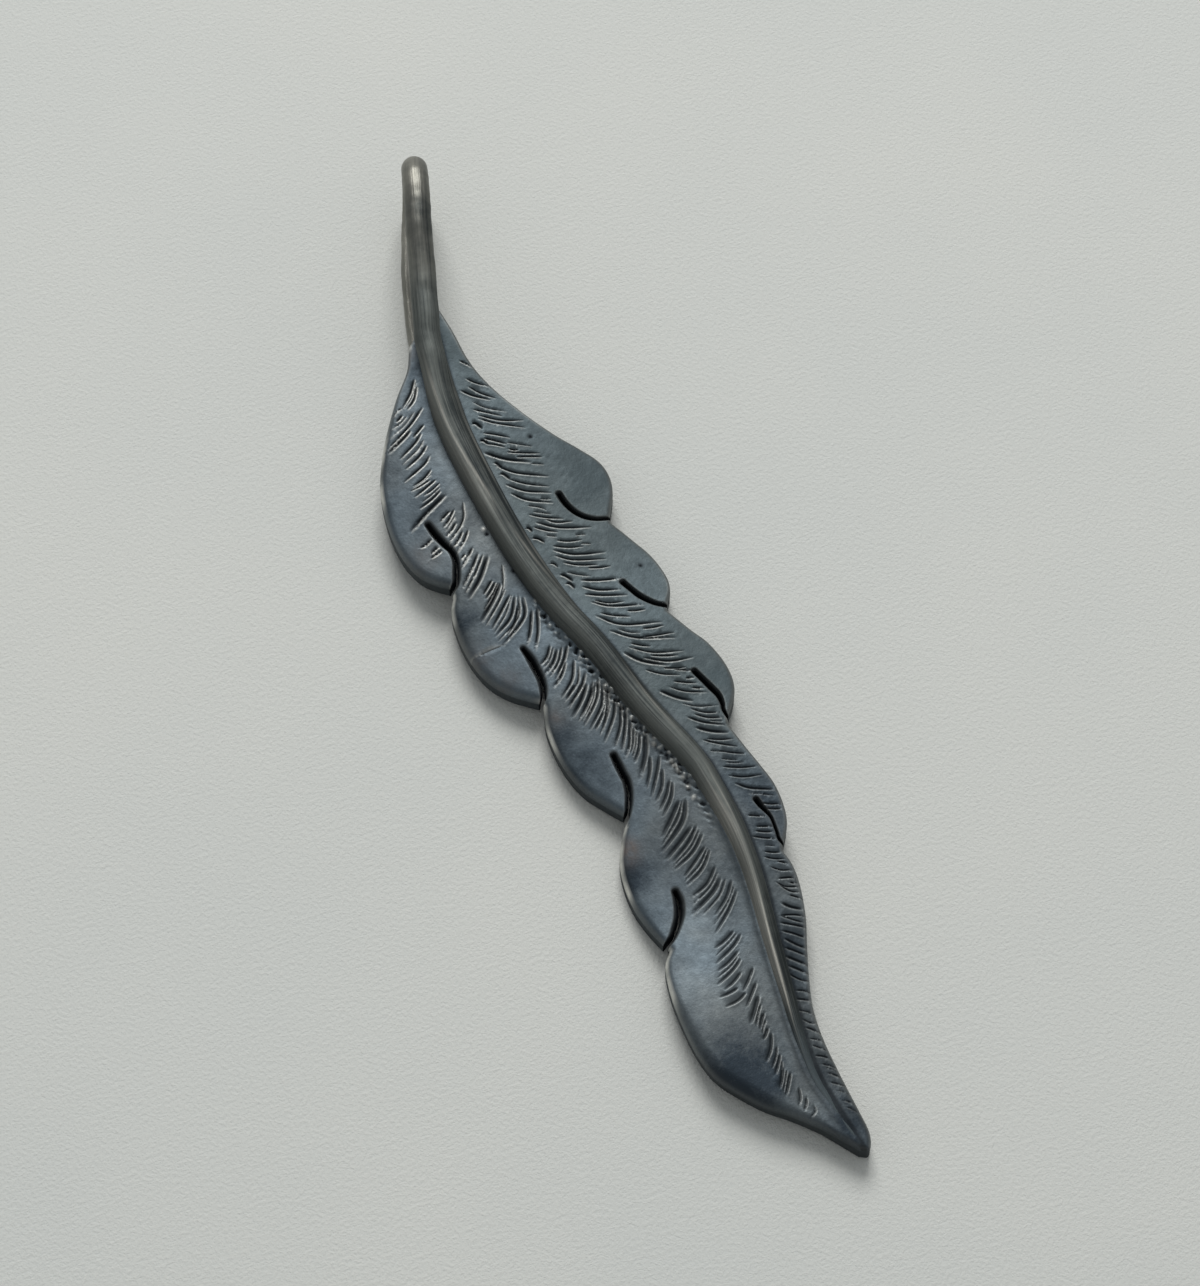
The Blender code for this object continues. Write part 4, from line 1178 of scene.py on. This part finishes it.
def round_ring():
    """A circle with as many points as the other rings, spread the same way."""
    arch = np.linspace(-135.0, 135.0, ARCH_LAST + 1)
    under = np.linspace(135.0, 225.0, UNDER_POINTS + 2)[1:-1]
    angle = np.radians(np.concatenate([arch, under]))
    return np.column_stack([np.sin(angle), np.cos(angle)])


# %% [markdown]
# Every ring is a mix of these sections, and the shares change smoothly along the wire. Once it has left
# the sheet, the ring is the circle alone. Small dents keep the wire from looking as if a machine had
# drawn it.

# %% The rings along the wire
# How tall the quill is, as a share of its full height, from the tip up
FLAT_Y, FLAT_HEIGHT = [0.0, 3.0, 7.0, 12.0, 30.0, 46.0, 56.0], [0.30, 0.40, 0.66, 0.92, 1.0, 0.98, 1.06]
station = np.arange(len(path))
on_sheet = station < PATH_STEPS * (len(QUILL_MARKS) - 1)
y = middle[:, 1]
freed = np.where(on_sheet, smooth_step(52.5, 57.0, y), 1.0)[:, None, None]
stepped = smooth_step(34.0, 41.0, y)[:, None, None]
ridged = smooth_step(25.0, 16.0, y)[:, None, None] * on_sheet[:, None, None]
plain_part = 1.0 - stepped - ridged
sheet_top = back_of_sheet(middle[:, 0], y) + SHEET - middle[:, 2]
lying = ring_of(STEPPED)[None] * stepped + ring_of(RIDGED)[None] * ridged
lying = lying + ring_of(ROUNDED)[None] * plain_part
lying = lying * np.stack([np.ones_like(y), np.interp(y, FLAT_Y, FLAT_HEIGHT)], axis=1)[:, None]
lying = lying * radius[:, None, None]
lying[:, :, 1] += sheet_top[:, None]
ring = lying * (1.0 - freed) + round_ring()[None] * radius[:, None, None] * freed
count = ring.shape[1]
angle = np.arange(count) / count
dents = 0.014 * wander(station[:, None] * 0.12 + 0 * angle, angle * 6.0 + 0 * station[:, None], 1.6, 31)
ring = ring * (1.0 + dents[:, :, None])
points = middle[:, None] + side[:, None] * ring[:, :, :1] + up[:, None] * ring[:, :, 1:]
points[:, :, 2] = np.maximum(points[:, :, 2], 0.0)
print("rings:", len(path), "points in each:", count)

# %% [markdown]
# All rings have the same number of points, so a quad joins two points of a ring to the same two of the
# next. At both ends a fan of triangles closes the wire.


# %% The wire's mesh
def tube(points):
    """Quads between neighbouring rings, and a fan of triangles to a middle point at both ends."""
    rings, count = points.shape[:2]
    here = np.arange(count)
    after = (here + 1) % count
    rows = np.arange(rings - 1)[:, None] * count
    quads = np.stack([rows + here, rows + after, rows + count + after, rows + count + here], axis=2)
    first, last = rings * count, rings * count + 1
    end_row = (rings - 1) * count
    caps = [np.column_stack([after, here, np.full(count, first)])]
    caps.append(np.column_stack([end_row + here, end_row + after, np.full(count, last)]))
    ends = np.array([points[0].mean(axis=0), points[-1].mean(axis=0)])
    return np.vstack([points.reshape(-1, 3), ends]), quads.reshape(-1, 4).tolist() + np.vstack(caps).tolist()


quill_points, quill_faces = tube(points)
print("quill faces:", len(quill_faces))

# %% [markdown]
# The quill was rubbed harder than the sheet, so its film is thin and the metal under it is warmer. The
# cloth ran along the wire, and so do its fine lines. They need a map of their own: across the wire, and
# along its length.

# %% The rubbed wire
WARM_SILVER = (0.27, 0.26, 0.225, 1.0)


def rubbed_wire():
    """Warmer, brighter metal in lines along it, painted highlights, and patina and shade at its base."""
    material, shader, build = new_material("rubbed_wire")
    place = build.make("ShaderNodeUVMap", uv_map="along_wire")
    stretched = build.make("ShaderNodeMapping", {"Vector": place, "Scale": (5.6, 0.14, 1.0)})
    lines = noise(build, stretched, 1.0, 4.0, 0.65)
    where = build.make("ShaderNodeTexCoord", output=3)
    cloud = noise(build, where, 420.0, 4.0, 0.6)
    fine = noise(build, where, 2600.0, 3.0, 0.6)
    drawn = (lines - 0.5) * (layer(build, "polished") * -2.6 + 3.5)
    film_and_shade = (layer(build, "dark") + (cloud - 0.5) * 1.0 + drawn + (fine - 0.5) * 0.4).clamp()
    tint = film_and_shade.colour((0.130, 0.141, 0.133, 1.0), (0.038, 0.045, 0.046, 1.0))
    polish = layer(build, "polished") * 0.75
    tint = polish.colour(tint, film_and_shade.colour(WARM_SILVER, (0.050, 0.056, 0.055, 1.0)))
    tint = layer(build, "sheet").colour(tint, (0.085, 0.104, 0.112, 1.0))
    # Bare metal where rubbed, and painted highlights on the crest and flanks
    rubbed = (layer(build, "rub") * (lines * 2.6 - 0.35)).clamp()
    tint = rubbed.colour(tint, (0.42, 0.41, 0.37, 1.0))
    # Near-black: patina with painted shade along the wire's foot and under its step
    tint = layer(build, "groove").colour(tint, (0.014, 0.016, 0.016, 1.0))
    rough = 0.60 + cloud * 0.12 - rubbed * 0.10
    rough = rough + layer(build, "groove") * 0.2 - layer(build, "polished") * 0.22
    relief = bump(build, lines, 0.00005, 0.8, bump(build, fine, 0.00001, 0.5))
    wire_up(shader, Base_Color=tint, Roughness=rough, Metallic=0.95, Normal=relief)
    return material


quill = new_mesh("quill_look", quill_points, quill_faces, rubbed_wire())
arch_share = np.minimum(np.arange(count) / ARCH_LAST, 1.0)
u = np.repeat(arch_share[None] * 4.0, len(path), axis=0).ravel()
v = np.repeat(travel[:, None], count, axis=1).ravel()
uv = np.column_stack([np.append(u, [2.0, 2.0]), np.append(v, [0.0, travel[-1]])])
corners = np.empty(len(quill.data.loops), dtype=np.int32)
quill.data.loops.foreach_get("vertex_index", corners)
quill.data.uv_layers.new(name="along_wire").data.foreach_set("uv", uv[corners].ravel())
print("corners in the map:", len(corners))

# %% [markdown]
# The film on the wire changes along it and across it. The crest is rubbed bright and carries a painted
# highlight, which wanders from one side of the wire to the other. The left flank is rubbed too and
# carries painted highlights, more and wider towards the tip. The right flank is painted dark as shade,
# and the line under the low step and the wire's foot stay dark with patina and painted shade. The back
# leg is painted paler and brighter where the front wire shades it, and the loop's front leg carries
# painted shade and highlights.

# %% Film along the wire
# Painted shade on the loop's front leg where the strength is above nought, painted highlights below
WIRE_SHADE_AND_HIGHLIGHT_SPOTS = [
    (-1.35, 64.4, 1.3, 0.32), (-1.0, 63.3, 1.2, 0.30), (-1.9, 62.0, 0.8, 0.2), (-2.4, 59.5, 0.9, 0.3),
    (-1.6, 67.2, 0.8, -0.5), (-1.5, 69.0, 0.9, -0.6), (-2.9, 61.2, 0.8, -0.3), (-3.9, 58.3, 0.8, -0.2),
]
# Each as (y, value) from the tip up: where the crest and its painted highlight run across the wire, how
# hard it is rubbed and painted bright, and how much more film the wire carries there than the mean
CREST = [
    (4.0, -0.45), (12.0, -0.45), (17.0, -0.1), (23.0, 0.05), (28.0, 0.25), (33.0, 0.55),
    (38.0, 0.60), (42.0, 0.25), (46.0, -0.15), (50.0, -0.50), (57.0, -0.68),
]
CREST_RUB_AND_HIGHLIGHT = [
    (3.0, 0.0), (6.0, 0.1), (9.0, 0.8), (13.0, 1.0), (20.0, 0.5), (30.0, 0.4), (40.0, 0.5), (55.0, 1.0),
]
FILM_ALONG = [
    (4.0, 0.2), (8.0, 0.3), (11.0, 0.5), (14.0, 0.15), (18.0, -0.33), (24.5, -0.42), (28.0, 0.0),
    (32.0, 0.42), (36.0, 0.3), (39.0, 0.16), (46.0, 0.28), (49.0, 0.1), (53.0, -0.2), (57.0, 0.0),
]


def along_wire(table):
    """The table's value at every ring, as a column."""
    marks = np.array(table)
    return np.interp(y, marks[:, 0], marks[:, 1])[:, None]


def up_to(low, high):
    """A smooth step of the height up the feather, as a column with one number to a ring."""
    return smooth_step(low, high, y)[:, None]


on_arch = np.arange(count) <= ARCH_LAST
across = np.where(on_arch, ring_of(STEPPED)[:, 0], 0.0)[None] + 0 * y[:, None]
above = on_arch[None] * np.ones_like(y)[:, None]
on = 1.0 - freed[:, :, 0]
step_share = stepped[:, :, 0]
from_crest = across - along_wire(CREST)
# Painted highlight along the crest, with the rubbing there
crest_highlight = bell(from_crest, 0.09) * on * above
right_of_crest = smooth_step(0.12, 0.4, from_crest) * on * above * up_to(36.0, 44.0)
left_of_crest = smooth_step(-0.05, -0.3, from_crest) * on * above * up_to(42.0, 47.0)
# Painted shade on the quill's right flank
right_flank_shade = smooth_step(0.30, 0.62, across) * (ridged + 0.4 * plain_part)[:, :, 0] * above
left_side = smooth_step(-0.15, -0.5, across) * above * up_to(33.0, 37.0) * on
towards_tip = up_to(26.0, 18.0)
# Painted highlights on the left flank, with the rubbing there
rubbed_side = smooth_step(0.0, -0.4, across + 0.35 * (1.0 - towards_tip)) * above * on
rubbed_side = rubbed_side * (up_to(8.0, 12.0) * up_to(47.0, 43.0))
# Patina with painted shade along the wire's foot and under the low step
foot_patina_and_shade = smooth_step(0.97, 1.04, np.abs(across)) * on * above
foot_patina_and_shade = foot_patina_and_shade * np.where(across < 0, 0.3 * step_share, 1.0)
step_line_patina_and_shade = bell(across - 0.70, 0.05) * step_share * on * above
step_top = smooth_step(0.70, 0.80, across) * smooth_step(1.0, 0.9, across) * step_share * on
low_end = up_to(10.0, 4.0) * on
streak = 0.5 + 0.5 * wander(travel[:, None] * 0.2 + 0 * across, across * 0.2, 1.0, 41)
apex = PATH_STEPS * (len(QUILL_MARKS) + len(LOOP_FRONT_LEG) + LOOP_MARKS // 2)
back_leg = (station > apex)[:, None] * np.ones_like(across)
polished = np.where(station > apex, 1.0, smooth_step(58.5, 64.5, y))[:, None]
# Painted shade and painted highlights on the loop's front leg
wire_shade_and_highlight = spots(WIRE_SHADE_AND_HIGHLIGHT_SPOTS, points[:, :, 0].ravel(), points[:, :, 1].ravel()).reshape(across.shape)
wire_shade_and_highlight = wire_shade_and_highlight * above * (1.0 - back_leg)

rub_wire = crest_highlight * along_wire(CREST_RUB_AND_HIGHLIGHT) * (0.15 + 0.75 * streak)
# Painted light on the back leg, which the front wire shades, along with the crest's rubbing
rub_wire += 0.22 * left_of_crest + 0.5 * back_leg * smooth_step(0.4, 0.8, streak)
rub_wire += step_top * 0.35 * streak
rub_wire += (0.08 + 0.64 * towards_tip) * (0.35 + 0.65 * streak) * rubbed_side
dark_wire = 0.38 + 0.22 * right_flank_shade * on + 0.24 * right_of_crest - 0.2 * left_of_crest
dark_wire -= (0.30 + 0.25 * towards_tip) * rubbed_side
dark_wire += along_wire(FILM_ALONG) - 0.32 * left_side
# Painted shade and highlights on the front leg, painted light on the back leg, shade under the step
dark_wire += wire_shade_and_highlight - 0.25 * back_leg + 0.4 * low_end + 0.4 * step_line_patina_and_shade
print("film along the wire, mean:", dark_wire.mean().round(3))

# %% [markdown]
# The quill's film, with its painted shade and highlights, is stored in the same way as the feather's,
# and the piece is handed over with the same three calls.


# %% The quill, handed over
def with_ends(values, end):
    """One number to a point of every ring, and this one for the two points that close the wire's ends."""
    return np.append((values + 0 * across).ravel(), [end, end])


paint(
    quill,
    dark=with_ends(dark_wire, 0.5),
    rub=with_ends(rub_wire, 0.0),
    groove=with_ends(foot_patina_and_shade * 0.6 + 0.35 * step_line_patina_and_shade * streak, 0.0),
    sheet=with_ends(low_end, 0.0),
    polished=with_ends(polished, 1.0),
)
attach(quill, "root")
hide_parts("quill")
print("quill faces in the scene:", len(quill.data.polygons))

# %% [markdown]
# ## The table, the light and the camera
# The pendant lies on a pale, finely grained surface under one broad soft light. The light stands half way
# up the sky beyond the top of the picture, so shadows are faint and wide. The camera looks down from the
# tip's side.


# %% The table
def pale_surface():
    """Pale stone grey, matt, with a fine grain."""
    material, shader, build = new_material("pale_surface")
    place = build.make("ShaderNodeTexCoord", output=3)
    cloud = noise(build, place, 30.0, 3.0)
    grain = noise(build, place, 4400.0, 4.0, 0.7)
    shade = (cloud * 0.6 + grain * 0.4).ramp(0.3, 0.7)
    tint = shade.colour((0.578, 0.596, 0.570, 1.0), (0.616, 0.624, 0.588, 1.0))
    wire_up(shader, Base_Color=tint, Roughness=0.75, Normal=bump(build, grain, 0.00011, 0.8))
    return material


TABLE_HALF = 1.2
corners = [(x * TABLE_HALF, y * TABLE_HALF, 0.0) for x, y in ((-1, -1), (1, -1), (1, 1), (-1, 1))]
table_mesh = bpy.data.meshes.new("table")
table_mesh.from_pydata(corners, [], [(0, 1, 2, 3)])
table_mesh.materials.append(pale_surface())
table = bpy.data.objects.new("table", table_mesh)
bpy.context.scene.collection.objects.link(table)

# %% [markdown]
# A square area light gives softer shadows the larger it is and the nearer it stands. This one is half a
# metre wide and a metre away, and a pale sky lightens the shadows from all round.


# %% The light
def soft_light(name, place, size, power, colour):
    """A square light that faces the pendant."""
    data = bpy.data.lights.new(name, "AREA")
    data.shape = "SQUARE"
    data.size = size
    data.energy = power
    data.color = colour
    item = bpy.data.objects.new(name, data)
    item.location = place
    direction = -np.array(place)
    tilt = np.arctan2(np.hypot(*direction[:2]), -direction[2])
    item.rotation_euler = (tilt, 0.0, np.arctan2(-direction[0], direction[1]))
    bpy.context.scene.collection.objects.link(item)


world = bpy.data.worlds.new("room")
world.use_nodes = True
sky = world.node_tree.nodes["Background"]
sky.inputs["Color"].default_value = (0.95, 0.98, 1.0, 1.0)
sky.inputs["Strength"].default_value = 0.42
bpy.context.scene.world = world
soft_light("window", (0.22, 0.68, 0.70), 0.5, 8.2, (1.0, 0.99, 0.98))
bpy.context.scene.view_settings.view_transform = "Standard"
bpy.context.scene.view_settings.look = "None"

# %% [markdown]
# The camera stands 214 mm from the middle of the picture, with a 100 mm lens. It is tilted 28 degrees
# from straight down and turned 22 degrees, so that the feather lies across the picture from upper left to
# lower right.

# %% The camera
CAMERA_TILT = np.radians(28.0)
CAMERA_TURN = np.radians(-22.132)
CAMERA_DISTANCE = 213.9 * MM
AIM = np.array([1.647, 0.561, 0.0]) * MM
camera_data = bpy.data.cameras.new("camera")
camera_data.lens = 100.0
camera_data.sensor_width = 36.0
camera_data.clip_start = 0.01
camera = bpy.data.objects.new("camera", camera_data)
turned_back = np.array([np.sin(CAMERA_TURN), -np.cos(CAMERA_TURN)]) * np.sin(CAMERA_TILT)
camera.location = AIM + np.append(turned_back, np.cos(CAMERA_TILT)) * CAMERA_DISTANCE
camera.rotation_euler = (CAMERA_TILT, 0.0, CAMERA_TURN)
bpy.context.scene.collection.objects.link(camera)
bpy.context.scene.camera = camera
print("the camera stands at, in millimetres:", (np.array(camera.location) / MM).round(1))
